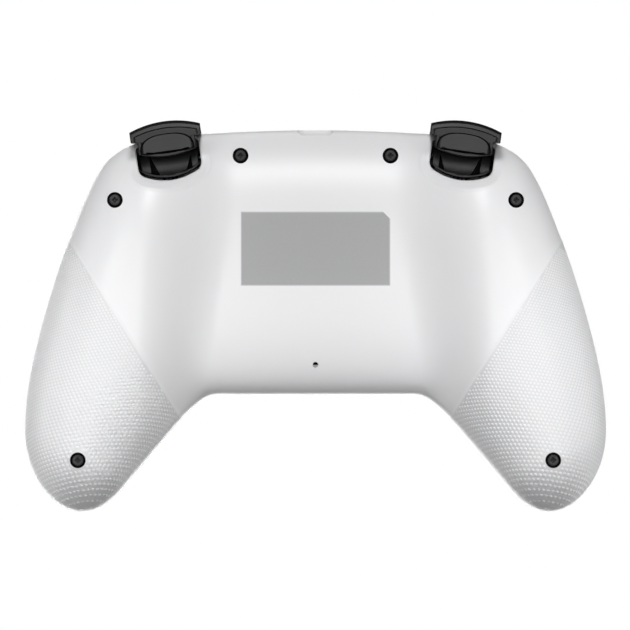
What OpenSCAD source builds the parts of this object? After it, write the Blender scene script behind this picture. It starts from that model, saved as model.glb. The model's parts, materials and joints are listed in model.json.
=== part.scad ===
// Gamepad controller lying face up: +X to the player's right, +Y away from the player
// (USB socket and triggers), +Z out of the face. z = 0 is the table under the grips.

/* [Housing outline] */
// Width across the widest part of the grips
housing_w = 154.2; // [150:0.2:162]
// Place of the widest part, below the middle of the plan
widest_y = 30.3; // [28:0.1:32]
// How far the shoulders stand out from the middles of the triggers
shoulder_out = 18.4; // [17:0.1:20]
// Shoulder, where the top edge turns down into the flank, above the middle
shoulder_y = 39; // [37:0.5:40]
// How far the flanks stand in from the widest part
flank_in = 7.5; // [6:0.1:9]
// Place of the flanks above the middle
flank_y = 7.7; // [6:0.1:9]
// Top edge, measured from the middle of the plan
top_y = 49.3; // [48.5:0.1:50.5]
// Width of the nearly straight top edge
top_w = 56; // [52:1:60]
// How far the top edge falls over that width
top_fall = 0.9; // [0.6:0.1:1.2]
// Bottom edge between the grips, below the middle
crotch_y = 21; // [19:0.5:23]
// Width of the straight bottom edge between the grips
crotch_w = 44; // [38:1:46]
// How far the grip tips stand in from the widest part
tip_in = 15.1; // [13:0.1:17]
// Grip tips, below the middle
tip_y = 51.9; // [50:0.1:56]

/* [Housing depth] */
// Height of the seam between the covers
seam_z = 22; // [21:0.5:23]
// How far the seam drops at the grip tips
tip_sink = 7; // [4:0.5:9]
// Height of the front face
face_z = 37.4; // [36.5:0.1:38.5]
// Height of the front of the grips
grip_face_z = 30; // [28:0.5:32]
// Height of the middle of the back panel above the table
back_lift = 7.5; // [5:0.5:9]
// Width of the flat middle of the back panel
back_panel_w = 34; // [26:1:42]
// Distance between the two back ridges that lead into the grips
ridge_span = 90; // [84:1:96]
// Wall thickness of both covers
wall = 2; // [1.6:0.1:2.4]
// Gap that shows as the seam line
seam_gap = 0.2; // [0.1:0.05:0.3]

/* [Screws] */
// Distance of the screws beside the socket from the middles of the triggers
top_screw_in = 18.7; // [17.5:0.1:20]
// Place of those screws above the middle
top_screw_y = 42.5; // [41:0.5:43.5]
// Distance of the shoulder screws inside the shoulders
side_screw_in = 3.8; // [3:0.1:4.6]
// Place of the shoulder screws above the middle
side_screw_y = 30.7; // [29:0.1:32]
// Distance of the grip screws outside the grip tips
grip_screw_out = 0.9; // [0:0.1:1.6]
// Place of the grip screws below the middle
grip_screw_y = 38.3; // [36:0.1:40]
// Diameter of the screw wells
well_d = 4.2; // [3.8:0.1:4.6]
// Depth of the screw seats below the surface
well_depth = 3; // [2.4:0.1:4]
// Shank diameter of the screws
screw_d = 2.2; // [1.8:0.1:2.4]
// Length of the shank under the head
screw_len = 11; // [8:0.5:12]
// Head diameter of the screws
head_d = 2.9; // [2.6:0.1:3.2]
// Height of the head above its washer face
head_h = 1.1; // [0.8:0.1:1.4]

/* [Triggers] */
// Distance between the middles of the two triggers
trigger_span = 77.2; // [75:0.2:79]
// Place of the trigger pins above the middle
trigger_y = 39.5; // [38.5:0.1:40]
// Height of the trigger pins
trigger_z = 18.8; // [18:0.1:19]
// Turn of each trigger towards its flank
trigger_yaw = 8; // [4:0.5:10]
// Width of the window in the covers
window_w = 16.8; // [16:0.2:18]
// Gap on each side of a trigger in its window
window_gap = 0.7; // [0.5:0.1:1]
// Radius of the window's lower corners
corner_r = 2.6; // [2:0.1:3.2]
// Width of the trigger at its lip
lip_w = 18.9; // [18:0.1:20]
// Reach of the lip from the pin
lip_reach = 12.2; // [11.6:0.1:12.8]
// Radius of the drum face around the pin
drum_r = 6.4; // [6.2:0.1:6.8]
// Wall of the trigger moulding
trigger_wall = 1.8; // [1.4:0.1:2.2]
// Diameter of the trigger pins
pin_d = 2.4; // [2:0.1:2.8]
// Width of the sloped collar below the window
collar_w = 2.2; // [1.4:0.1:3]
// Depth of the collar at the window's edge
collar_depth = 1.1; // [0.6:0.1:1.2]
// Wire of the trigger springs
spring_wire = 0.5; // [0.4:0.05:0.6]
// Turns of each trigger spring
spring_turns = 4; // [3:1:5]

/* [Bumpers] */
// Height of each bumper's lower edge
bumper_z = 25.4; // [25.2:0.1:26]
// Height of the bumper face
bumper_h = 7; // [6:0.5:7.5]
// Depth of the bumper moulding
bumper_t = 3; // [2.6:0.1:3.2]
// Reach of each bumper inwards from its trigger's middle
bumper_reach = 11.6; // [10:0.1:12]
// Gap round a bumper
bumper_gap = 0.4; // [0.3:0.05:0.6]

/* [Thumbsticks] */
// Left stick, inside the shoulder
stick_left_in = 15; // [14:0.5:17]
// Left stick, above the middle
stick_left_y = 18; // [16:0.5:19]
// Right stick, to the right of the middle
stick_right_x = 21; // [19:0.5:23]
// Right stick, above the middle
stick_right_y = 1; // [0:0.5:2]
// Height of the stick pivots above the main board
stick_pivot_h = 4; // [3.6:0.1:4.4]
// Radius of the dome that fills the face opening
dome_r = 12.2; // [11.6:0.1:12.6]
// Diameter of the thumb cap
cap_d = 18.4; // [17:0.2:20]
// Height of the thumb cap above the pivot
cap_h = 23; // [21:0.5:25]
// Diameter of the metal stick shaft
shaft_d = 4; // [3.4:0.1:4.4]
// Side of the stick module
module_w = 14.6; // [14:0.1:14.8]

/* [Buttons] */
// Middle of the face buttons, inside the shoulder
face_in = 14; // [13:0.5:15]
// Middle of the face buttons, above the middle
face_y = 19; // [18:0.5:20]
// Spread of the face buttons from their middle
face_spread = 9.4; // [9:0.1:10]
// Diameter of a face button
face_d = 10; // [9:0.2:10.6]
// Height of a face button above the face
face_proud = 2.6; // [2:0.1:3.2]
// Travel of a face button
face_travel = 1.5; // [1:0.1:1.6]
// Directional pad, to the left of the middle
dpad_x = 21; // [20:0.5:22]
// Directional pad, above the middle
dpad_y = 1; // [0:0.5:2]
// Span of the directional pad
dpad_span = 21; // [19:0.5:23]
// Arm width of the directional pad
dpad_arm = 7; // [6:0.2:8]
// Tilt of the directional pad to each side, in degrees
dpad_tilt = 5; // [3:0.5:6]
// Home button above the middle
home_y = 28; // [26:0.5:30]
// Diameter of the home button
home_d = 10; // [8:0.5:11]
// Distance between the two menu buttons
menu_span = 26; // [24:1:28]
// Menu buttons above the middle
menu_y = 20; // [18:0.5:21]
// Diameter of the menu buttons
menu_d = 5.4; // [4.6:0.2:6]
// Distance between the two option buttons
option_span = 12; // [10:0.5:14]
// Option buttons above the middle
option_y = 12; // [11:0.5:13]
// Travel of the small buttons
small_travel = 0.6; // [0.4:0.1:0.8]

/* [Inside] */
// Thickness of the main board
board_t = 1.6; // [1.2:0.1:1.6]
// Thickness of the inner frame
frame_t = 1.6; // [1.4:0.1:1.8]
// Battery width
battery_w = 50; // [44:1:54]
// Battery length
battery_l = 30; // [26:1:32]
// Battery thickness
battery_t = 6; // [5:0.2:7]
// Diameter of the rumble motors
motor_d = 12; // [10:0.5:13]
// Length of the rumble motor cans
motor_l = 13; // [11:0.5:14]
// Distance of the rumble motors inside the grip tips
motor_in = 6; // [4:0.5:8]
// Diameter of the reset pinhole
reset_d = 1.4; // [1.2:0.1:1.8]
// Reset pinhole below the middle
reset_y = 13; // [12:0.5:14]
// Label width
label_w = 39.6; // [34:0.2:42]
// Label height
label_h = 19.6; // [16:0.2:21]
// Middle of the label above the middle
label_y = 17.8; // [16:0.2:19]
// Cut corner of the label
label_cut = 1.9; // [1:0.1:3]

/* [Clearances] */
// Running clearance on each side of a pin
run = 0.05; // [0.02:0.01:0.1]
// Clearance round moving caps and buttons
slide_gap = 0.4; // [0.3:0.05:0.5]
// Clearance of seated pieces
seat = 0.05; // [0.02:0.01:0.1]

/* [Hidden] */
$fn = 64;
CUT = 60;

// Plan curves of the right half: five cubic stretches outside and five inside, from the middle
// of the body (station 0) round the shoulder and down the grip to its tip (station 5)
shoulder = [trigger_span / 2 + shoulder_out, shoulder_y];
flank = [housing_w / 2 - flank_in, flank_y];
widest = [housing_w / 2, -widest_y];
tip = [housing_w / 2 - tip_in, -tip_y];
top_mid = [0, top_y];
top_end = [top_w / 2, top_y - top_fall];
crotch_mid = [0, -crotch_y];
crotch_end = [crotch_w / 2, -crotch_y];
function grip_pt(u, v) = crotch_end + [u * (tip[0] - crotch_end[0]), v * (tip[1] - crotch_end[1])];
bend = grip_pt(0.1875, 0.029);
thigh = grip_pt(0.405, 0.291);
heel = grip_pt(0.6725, 0.7055);
shoulder_run = [0.55, -0.835];
flank_run = [0.296, -0.955];
bend_run = [0.86, -0.51];
heel_run = [0.641, -0.767];
LEVEL = [1, 0];
DOWN = [0, -1];
// One cubic stretch: its ends, its run at each end, and how far along its chord each handle reaches
function reach(a, a_run, a_share, b, b_run, b_share) = let (d = norm(b - a))
  [a, a + a_share * d * a_run, b - b_share * d * b_run, b];
OUTER = [reach(top_mid, LEVEL, 0.332, top_end, unit([1, -0.054]), 0.332),
  reach(top_end, unit([1, -0.042]), 0.314, shoulder, shoulder_run, 0.347),
  reach(shoulder, shoulder_run, 0.236, flank, flank_run, 0.295),
  reach(flank, flank_run, 0.32, widest, DOWN, 0.317),
  reach(widest, DOWN, 0.454, tip, [-1, 0], 0.284)];
INNER = [reach(crotch_mid, LEVEL, 0.318, crotch_end, LEVEL, 0.318),
  reach(crotch_end, LEVEL, 0.397, bend, bend_run, 0.318),
  reach(bend, bend_run, 0.269, thigh, heel_run, 0.261),
  reach(thigh, heel_run, 0.33, heel, heel_run, 0.33),
  reach(heel, heel_run, 0.252, tip, LEVEL, 0.39)];
STEPS = [5, 8, 6, 6, 9];
STATIONS = [for (k = [0:4]) for (i = [0:STEPS[k] - 1]) k + i / STEPS[k]];
LAST = len(STATIONS) - 1;

function unit(v) = v / norm(v);
function bezier(p, t) = pow(1 - t, 3) * p[0] + 3 * pow(1 - t, 2) * t * p[1]
  + 3 * (1 - t) * t * t * p[2] + t * t * t * p[3];
function bezier_run(p, t) = pow(1 - t, 2) * (p[1] - p[0]) + 2 * (1 - t) * t * (p[2] - p[1])
  + t * t * (p[3] - p[2]);
function stretch(s) = min(floor(s), 4);
function right_of(d) = [d[1], -d[0]] / norm(d);
function outer_at(s, inset = 0) = let (k = stretch(s), t = s - k)
  bezier(OUTER[k], t) + inset * right_of(bezier_run(OUTER[k], t));
function inner_at(s, inset = 0) = let (k = stretch(s), t = s - k)
  bezier(INNER[k], t) - inset * right_of(bezier_run(INNER[k], t));

function arc(c, r, a, b, n) = [for (i = [0:n]) let (t = a + (b - a) * i / n) c + r * [cos(t), sin(t)]];

// A smooth curve through one value per stretch end
function through(v, s) = let (k = stretch(s), t = s - k, a = v[k == 0 ? 1 : k - 1], b = v[k],
    c = v[k + 1], d = v[min(k + 2, 5)])
  0.5 * (2 * b + (c - a) * t + (2 * a - 5 * b + 4 * c - d) * t * t + (3 * b - a - 3 * c + d) * t * t * t);
function ease(x) = let (t = max(0, min(1, x))) t * t * (3 - 2 * t);

// Where each cross-section crests, and how square its four quarters are
CREST = [0.45, 0.45, 0.43, 0.48, 0.5, 0.5];
BACK_OUTER = [2.2, 2.2, 2.25, 2.3, 2.2, 2.2];
BACK_INNER = [3, 3, 2.6, 2.3, 2.2, 2.2];
FRONT_SQUARE = [3.4, 3.4, 3, 2.5, 2.3, 2.2];
FACE = [face_z, face_z, face_z - 0.3, (face_z + grip_face_z) / 2 + 0.8, grip_face_z, grip_face_z - 3];
SINK_FROM = 5;

function seam_at(y) = seam_z - tip_sink * pow(max(0, SINK_FROM - y) / (SINK_FROM + tip_y), 2);
function close_at(s) = s < 4 ? 1 : cos(90 * (s - 4));
function back_at(x) = back_lift * (1 - ease((2 * x - back_panel_w) / (ridge_span - back_panel_w)));
function crest_at(s, inset) = let (o = outer_at(s, inset), i = inner_at(s, inset))
  o + through(CREST, s) * (i - o);
function height_at(s, c, side) = side < 0 ? seam_at(c[1]) - back_at(c[0])
  : through(FACE, s) - seam_at(c[1]);
function square_at(s, outside, side) = side > 0 ? through(FRONT_SQUARE, s)
  : through(outside ? BACK_OUTER : BACK_INNER, s);

// One point of a cross-section: angle 0 is the outer edge, 90 the crest, 180 the inner edge
function skin(s, angle, inset, side) =
  let (c = crest_at(s, inset), outside = angle <= 90, e = outside ? outer_at(s, inset) : inner_at(s, inset),
    n = square_at(s, outside, side), u = pow(abs(cos(angle)), 2 / n), v = pow(abs(sin(angle)), 2 / n),
    p = c + u * (e - c), h = (height_at(s, c, side) - inset) * close_at(s))
  [p[0], p[1], seam_at(p[1]) + side * v * h + (side > 0 ? seam_gap * (1 - v) : 0)];
function flip(p, sign) = [sign * p[0], p[1], p[2]];

// Height of the front (side 1) or back (side -1) surface over a place in plan
function station_of(p, lo = 0, hi = 4.99, n = 20) = n == 0 ? (lo + hi) / 2
  : let (m = (lo + hi) / 2, o = outer_at(m))
    cross(inner_at(m) - o, p - o) > 0 ? station_of(p, m, hi, n - 1) : station_of(p, lo, m, n - 1);
function skin_z(x, y, side, inset = 0) =
  let (p = [abs(x), y], s = station_of(p), c = crest_at(s, inset), outside = (p - c) * (outer_at(s) - c) > 0,
    e = outside ? outer_at(s, inset) : inner_at(s, inset), n = square_at(s, outside, side),
    u = min(1, norm(p - c) / norm(e - c)))
  seam_at(y) + side * pow(1 - pow(u, n), 1 / n) * (height_at(s, c, side) - inset) * close_at(s);

function quad(a, b, c, d) = [[a, b, c], [a, c, d]];
function turned(faces, side) = side < 0 ? faces : [for (f = faces) [f[2], f[1], f[0]]];

// Half of the moulded housing: an outer skin, an inner skin one wall inside it and the seam face between
OUT_STEPS = 16;
IN_STEPS = 10;
ROWS = 2 * LAST + 1;
function skin_rows(steps, inset, side) = concat(
  [for (j = [-LAST:LAST]) for (k = [0:steps])
    flip(skin(STATIONS[abs(j)], 180 * k / steps, inset, side), j < 0 ? -1 : 1)],
  [flip(skin(5, 0, inset, side), -1), skin(5, 0, inset, side)]);
function skin_faces(steps, base) = let (w = steps + 1, left = base + ROWS * w, right = left + 1)
  concat(
    [for (j = [0:ROWS - 2]) for (k = [0:steps - 1]) let (a = base + j * w + k)
      for (f = quad(a, a + 1, a + w + 1, a + w)) f],
    [for (k = [0:steps - 1]) [left, base + k + 1, base + k]],
    [for (k = [0:steps - 1]) let (a = base + (ROWS - 1) * w + k) [a, a + 1, right]]);
function rim_faces(base) =
  let (wo = OUT_STEPS + 1, wi = IN_STEPS + 1, lo = ROWS * wo, li = base + ROWS * wi)
  concat(
    [for (j = [0:ROWS - 2]) let (o = j * wo, i = base + j * wi)
      for (f = quad(o, o + wo, i + wi, i)) f],
    [for (j = [0:ROWS - 2]) let (o = j * wo + OUT_STEPS, i = base + j * wi + IN_STEPS)
      for (f = quad(o, i, i + wi, o + wo)) f],
    quad(lo, 0, base, li),
    quad(lo, li, base + IN_STEPS, OUT_STEPS),
    quad((ROWS - 1) * wo, lo + 1, li + 1, base + (ROWS - 1) * wi),
    quad((ROWS - 1) * wo + OUT_STEPS, base + (ROWS - 1) * wi + IN_STEPS, li + 1, lo + 1));

module cover_shell(side) {
  outer_points = skin_rows(OUT_STEPS, 0, side);
  inner_points = skin_rows(IN_STEPS, wall, side);
  base = len(outer_points);
  faces = concat(skin_faces(OUT_STEPS, 0), [for (f = skin_faces(IN_STEPS, base)) [f[2], f[1], f[0]]],
    rim_faces(base));
  polyhedron(concat(outer_points, inner_points), turned(faces, side), convexity = 10);
}

// A post that grows out of a cover's wall and ends flat
POST_SIDES = 20;
module post(x, y, r, end_z, side) {
  ring = arc([x, y], r, 0, 360 - 360 / POST_SIDES, POST_SIDES - 1);
  foot = [for (p = ring) [p[0], p[1], skin_z(p[0], p[1], side) - side * wall / 2]];
  head = [for (p = ring) [p[0], p[1], end_z]];
  hub = [[x, y, skin_z(x, y, side) - side * wall / 2], [x, y, end_z]];
  n = POST_SIDES;
  faces = [for (i = [0:n - 1]) let (j = (i + 1) % n)
    for (f = concat(quad(i, i + n, j + n, j), [[j, 2 * n, i], [i + n, 2 * n + 1, j + n]])) f];
  polyhedron(concat(foot, head, hub), turned(faces, side));
}

SCREWS = [for (sx = [-1, 1]) for (p = [[trigger_span / 2 - top_screw_in, top_screw_y],
    [shoulder[0] - side_screw_in, side_screw_y], [tip[0] + grip_screw_out, -grip_screw_y]])
  [sx * p[0], p[1]]];
WELL_WALL = 1.5;
WASHER_T = 0.6;
SCREW_PLAY = 0.15;
RESET_ROOM = 3.5;
RESET_ROOM_R = 4;
CRADLE_R = 3.4;
USB_POST_X = 7;
USB_POST_R = 2;
POST_H = 4.8;
BOSS_R = 3;
BOSS_GAP = 0.2;
BOSS_STEP_R = 4;
board_z = seam_z + 3.8;
frame_z = board_z - board_t - frame_t;
function seat_z(p) = skin_z(p[0], p[1], -1) + well_depth;
function meet_z(p) = seat_z(p) + POST_H;

// Trigger frame: x along the pin, y outwards, z up, with the pin at the origin
module at_trigger(sign) {
  mirror([sign < 0 ? 1 : 0, 0, 0]) translate([trigger_span / 2, trigger_y, trigger_z])
    rotate([0, 0, -trigger_yaw]) children();
}
WINDOW_SIDE_Y = -1;
WINDOW_SAG = 2.5;
function sag_r(half, sag) = (half * half + sag * sag) / (2 * sag);
function window_outline(grow) = let (h = window_w / 2 + grow, q = corner_r + grow,
    r = sag_r(window_w / 2, WINDOW_SAG) + grow, a = asin((h - q) / (r - q)),
    c = [0, WINDOW_SIDE_Y - WINDOW_SAG + r - grow], f = c + (r - q) * [sin(a), -cos(a)])
  concat(arc(c, r, 270 - a * 5 / 6, 270 + a * 5 / 6, 10), arc(f, q, 270 + a, 360, 5),
    [[h, CUT / 2], [-h, CUT / 2]], arc([-f[0], f[1]], q, 180, 270 - a, 5));

module window_cut() {
  translate([0, 0, -CUT]) linear_extrude(CUT + bumper_z - trigger_z) polygon(window_outline(0));
}
// The collar is a sloped bed that falls from the ridge below the window into its edge
COLLAR_BELOW = 4;
module collar_cut() {
  edge_y = trigger_y + WINDOW_SIDE_Y - WINDOW_SAG;
  edge_z = skin_z(trigger_span / 2, edge_y, -1);
  fall = collar_depth + edge_z - skin_z(trigger_span / 2, edge_y - collar_w, -1);
  spread = collar_w * (collar_depth + COLLAR_BELOW) / fall;
  hull() {
    translate([0, 0, edge_z + collar_depth - trigger_z]) linear_extrude(0.01) polygon(window_outline(0.1));
    translate([0, 0, edge_z - COLLAR_BELOW - trigger_z]) linear_extrude(0.01) polygon(window_outline(spread));
  }
}

// A block that follows the front cover's side wall between two stations and two heights
function wall_pt(s, z, depth) = let (c = crest_at(s, 0), n = through(FRONT_SQUARE, s), o = outer_at(s),
    v = (z - seam_at(o[1])) / height_at(s, c, 1), u = pow(1 - pow(v, n), 1 / n), p = c + u * (o - c))
  p + depth * right_of(bezier_run(OUTER[stretch(s)], s - stretch(s)));
WALL_COLS = 16;
WALL_LEVELS = 4;
module wall_block(s0, s1, z0, z1, d0, d1) {
  w = WALL_LEVELS + 1;
  grid = [for (d = [d0, d1]) for (i = [0:WALL_COLS]) for (k = [0:WALL_LEVELS])
    let (z = z0 + (z1 - z0) * k / WALL_LEVELS, p = wall_pt(s0 + (s1 - s0) * i / WALL_COLS, z, d))
    [p[0], p[1], z]];
  b = (WALL_COLS + 1) * w;
  skins = [for (i = [0:WALL_COLS - 1]) for (k = [0:WALL_LEVELS - 1]) let (a = i * w + k)
    for (f = concat(quad(a, a + 1, a + w + 1, a + w), quad(b + a + w, b + a + w + 1, b + a + 1, b + a))) f];
  ends = [for (k = [0:WALL_LEVELS - 1]) let (a = WALL_COLS * w + k)
    for (f = concat(quad(k, b + k, b + k + 1, k + 1), quad(a + 1, a + b + 1, a + b, a))) f];
  edges = [for (i = [0:WALL_COLS - 1]) let (a = i * w, c = a + WALL_LEVELS)
    for (f = concat(quad(a, a + w, b + a + w, b + a), quad(c + w, c, b + c, b + c + w))) f];
  polyhedron(grid, turned(concat(skins, ends, edges), 1), convexity = 4);
}
function station_at_x(x, lo = 0, hi = 2, n = 18) = n == 0 ? lo
  : let (m = (lo + hi) / 2, low = outer_at(m)[0] < x) station_at_x(x, low ? m : lo, low ? hi : m, n - 1);
BUMPER_OUT = 1.92;
bumper_in = trigger_span / 2 - bumper_reach;
bumper_s = station_at_x(bumper_in);
BUMPER_SET_IN = 0.2;
BUMPER_SET_BACK = 2.5;
bumper_pivot = [bumper_in + BUMPER_SET_IN, wall_pt(bumper_s, bumper_z, bumper_t + BUMPER_SET_BACK)[1]];
BUMPER_PIN_D = 2.4;
BUMPER_HUB_D = 4.6;
BUMPER_HUB_H = 2.4;
BUMPER_ROOM = 2.4;
BUMPER_END = 0.03;
BUMPER_HUB_UP = 1.2;
ARM_FROM = 1.2;
ARM_L = 5;
ARM_OVER = 0.3;
module bumper_cut() {
  wall_block(station_at_x(bumper_in - bumper_gap), BUMPER_OUT + BUMPER_END, bumper_z - bumper_gap,
    bumper_z + bumper_h + bumper_gap, -wall, bumper_t + BUMPER_ROOM);
}

USB_W = 8.94;
USB_H = 3.26;
USB_L = 7.3;
USB_SHELL = 0.3;
TONGUE_W = 6.7;
TONGUE_T = 0.7;
TONGUE_IN = 0.6;
usb_z = seam_z - 1.7;
USB_MOUTH_W = 9.8;
USB_MOUTH_H = 4.2;
USB_SET_BACK = 0.3;
usb_front_y = top_y - wall - USB_SET_BACK;
module slot2d(w, h) {
  for (sx = [-1, 1]) translate([sx * (w - h) / 2, 0]) circle(d = h);
  square([w - h, h], center = true);
}
module usb_cut() {
  translate([0, top_y + wall, usb_z]) rotate([90, 0, 0]) linear_extrude(3 * wall + USB_SET_BACK)
    slot2d(USB_MOUTH_W, USB_MOUTH_H);
}

stick_z = board_z + stick_pivot_h;
left_stick = [stick_left_in - shoulder[0], stick_left_y];
right_stick = [stick_right_x, stick_right_y];
dpad_at = [-dpad_x, dpad_y];
face_mid = [shoulder[0] - face_in, face_y];
FACE_BUTTONS = [face_mid + [0, face_spread], face_mid - [0, face_spread], face_mid - [face_spread, 0],
  face_mid + [face_spread, 0]];
home_at = [0, home_y];
MENUS = [[-menu_span / 2, menu_y], [menu_span / 2, menu_y]];
OPTIONS = [[-option_span / 2, option_y], [option_span / 2, option_y]];
RING_R = 13.4;
RING_H = 3.2;
RING_LAND = 3.4;
RING_BEVEL = 1.3;
RING_EDGE = 0.6;
option_d = menu_d - 0.8;
function face_under(p) = skin_z(p[0], p[1], 1, wall);
module at2(p, z = 0) { translate([p[0], p[1], z]) children(); }

module button_hole(p, d) { at2(p, stick_z) cylinder(d = d + 2 * slide_gap, h = CUT); }

module front_cover() {
  color("whitesmoke") difference() {
    union() {
      cover_shell(1);
      for (p = SCREWS) {
        post(p[0], p[1], BOSS_R, meet_z(p), 1);
        if (p[1] > 0) post(p[0], p[1], BOSS_STEP_R, board_z, 1);
      }
    }
    for (p = SCREWS) at2(p, seat_z(p)) cylinder(d = screw_d + 2 * seat, h = screw_len + POST_H);
    for (p = [left_stick, right_stick]) at2(p, stick_z) cylinder(r = RING_R + seat, h = CUT);
    for (p = FACE_BUTTONS) button_hole(p, face_d);
    button_hole(home_at, home_d);
    for (p = MENUS) button_hole(p, menu_d);
    for (p = OPTIONS) button_hole(p, option_d);
    at2(dpad_at, stick_z) linear_extrude(CUT) dpad_cross(dpad_rim);
    for (sx = [-1, 1]) {
      at_trigger(sx) window_cut();
      mirror([sx < 0 ? 1 : 0, 0, 0]) bumper_cut();
    }
    usb_cut();
  }
}

module rear_cover() {
  color("whitesmoke") difference() {
    union() {
      cover_shell(-1);
      for (p = SCREWS) post(p[0], p[1], well_d / 2 + WELL_WALL, meet_z(p) - seat, -1);
      post(0, -reset_y, reset_d / 2 + WELL_WALL, frame_z - RESET_ROOM, -1);
      for (sx = [-1, 1]) for (y = MOTOR_CRADLES) post(sx * motor_x, y, CRADLE_R, motor_z, -1);
      for (sx = [-1, 1]) post(sx * USB_POST_X, usb_board_y, USB_POST_R, usb_board_z - seat, -1);
    }
    for (p = SCREWS) {
      at2(p, seat_z(p) - CUT) cylinder(d = well_d, h = CUT);
      at2(p, 0) cylinder(d = screw_d + 2 * SCREW_PLAY, h = CUT);
    }
    at2([0, -reset_y], 0) cylinder(d = reset_d, h = CUT);
    for (sx = [-1, 1]) {
      at_trigger(sx) {
        window_cut();
        collar_cut();
      }
      at_motor(sx, MOTOR_Y + wall) cylinder(d = motor_d + 2 * seat, h = motor_l + 2 * WEIGHT_T);
    }
    usb_cut();
  }
}

CROSS_L = 1.8;
CROSS_W = 0.5;
CROSS_H = 1.2;
module rear_screws() {
  color("dimgray") for (p = SCREWS) at2(p, seat_z(p)) difference() {
    union() {
      translate([0, 0, -WASHER_T - head_h]) cylinder(d = screw_d, h = screw_len + WASHER_T + head_h);
      translate([0, 0, -WASHER_T]) cylinder(d = well_d - 2 * SCREW_PLAY, h = WASHER_T);
      translate([0, 0, -WASHER_T - head_h]) cylinder(d = head_d, h = head_h + WASHER_T / 2);
    }
    for (a = [0, 90]) rotate([0, 0, a]) translate([0, 0, -WASHER_T - head_h])
      cube([CROSS_L, CROSS_W, CROSS_H], center = true);
  }
}

LABEL_T = 0.2;
LABEL_SEAT = 0.08;
LABEL_COLS = 10;
LABEL_ROWS = 6;
module rear_label() {
  w = LABEL_ROWS + 1;
  top = label_y + label_h / 2;
  grid = [for (d = [LABEL_SEAT, LABEL_SEAT + LABEL_T]) for (i = [0:LABEL_COLS]) for (k = [0:LABEL_ROWS])
    let (x = label_w * (i / LABEL_COLS - 0.5), y0 = label_y - label_h / 2,
      y1 = top - (i == 0 ? label_cut : 0), y = y0 + (y1 - y0) * k / LABEL_ROWS)
    [x, y, skin_z(x, y, -1) - d]];
  b = (LABEL_COLS + 1) * w;
  skins = [for (i = [0:LABEL_COLS - 1]) for (k = [0:LABEL_ROWS - 1]) let (a = i * w + k)
    for (f = concat(quad(a, a + 1, a + w + 1, a + w), quad(b + a + w, b + a + w + 1, b + a + 1, b + a))) f];
  ends = [for (k = [0:LABEL_ROWS - 1]) let (a = LABEL_COLS * w + k)
    for (f = concat(quad(k, b + k, b + k + 1, k + 1), quad(a + 1, a + b + 1, a + b, a))) f];
  edges = [for (i = [0:LABEL_COLS - 1]) let (a = i * w, c = a + LABEL_ROWS)
    for (f = concat(quad(a, a + w, b + a + w, b + a), quad(c + w, c, b + c, b + c + w))) f];
  color("darkgray") polyhedron(grid, concat(skins, ends, edges), convexity = 4);
}

// Plate that follows the housing's plan at a given inset, as far as one station down the grips
BOARD_INSET = 5.8;
FRAME_INSET = 5.2;
BOARD_END = 2.5;
module inside_plan(inset, s1) {
  side_out = [for (i = [0:16]) outer_at(s1 * i / 16, inset)];
  side_in = [for (i = [16:-1:0]) inner_at(s1 * i / 16, inset)];
  half = concat(side_out, side_in);
  polygon(concat(half, [for (i = [len(half) - 1:-1:0]) [-half[i][0], half[i][1]]]));
}
SOCKET_ROOM_W = 18;
TRIGGER_ROOM_Y = -7.5;
module trigger_room(w) { translate([-w / 2, TRIGGER_ROOM_Y]) square([w, CUT]); }
EAR_T = 1.8;
EAR_W = 4.4;
EAR_GAP = 0.8;
ear_x = window_w / 2 + EAR_GAP;
ear_r = EAR_W / 2;
ear_up = frame_z + frame_t / 2 - trigger_z;

module mid_frame() {
  color("dimgray") difference() {
    union() {
      difference() {
        translate([0, 0, frame_z]) linear_extrude(frame_t) inside_plan(FRAME_INSET, BOARD_END);
        for (sx = [-1, 1]) at_trigger(sx) linear_extrude(CUT) trigger_room(window_w);
      }
      for (sx = [-1, 1]) at_trigger(sx) for (side = [-1, 1]) translate([side * (ear_x + EAR_T / 2), 0, 0])
        rotate([0, 90, 0]) linear_extrude(EAR_T, center = true) {
          circle(d = EAR_W);
          translate([-ear_up, -ear_r]) square([ear_up, EAR_W]);
        }
    }
    for (sx = [-1, 1]) at_trigger(sx) rotate([0, 90, 0])
      cylinder(d = pin_d + 2 * seat, h = CUT / 2, center = true);
    for (p = SCREWS) at2(p, 0) cylinder(r = BOSS_R + BOSS_GAP, h = CUT);
    for (sx = [-1, 1]) at2([sx * bumper_pivot[0], bumper_pivot[1]], frame_z)
      cylinder(d = BUMPER_PIN_D + 2 * seat, h = CUT);
    translate([-SOCKET_ROOM_W / 2, usb_board_y - wall, 0]) cube([SOCKET_ROOM_W, CUT, CUT]);
    at2([0, -reset_y], 0) cylinder(r = RESET_ROOM_R, h = CUT);
  }
}

module main_board() {
  color("darkgreen") difference() {
    translate([0, 0, board_z - board_t]) linear_extrude(board_t) inside_plan(BOARD_INSET, BOARD_END);
    for (sx = [-1, 1]) at_trigger(sx) linear_extrude(CUT) trigger_room(window_w + 1);
    for (p = SCREWS) at2(p, 0) cylinder(r = BOSS_R + BOSS_GAP, h = CUT);
    for (sx = [-1, 1]) at2([sx * bumper_pivot[0], bumper_pivot[1]], 0)
      cylinder(d = BUMPER_PIN_D + 2 * seat, h = CUT);
  }
}

BATTERY_Y = 8;
module battery() {
  r = battery_t / 2;
  color("silver") translate([-battery_w / 2, BATTERY_Y, frame_z - seat - r]) rotate([0, 90, 0])
    linear_extrude(battery_w) rotate(90) slot2d(battery_l, battery_t);
}

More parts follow.
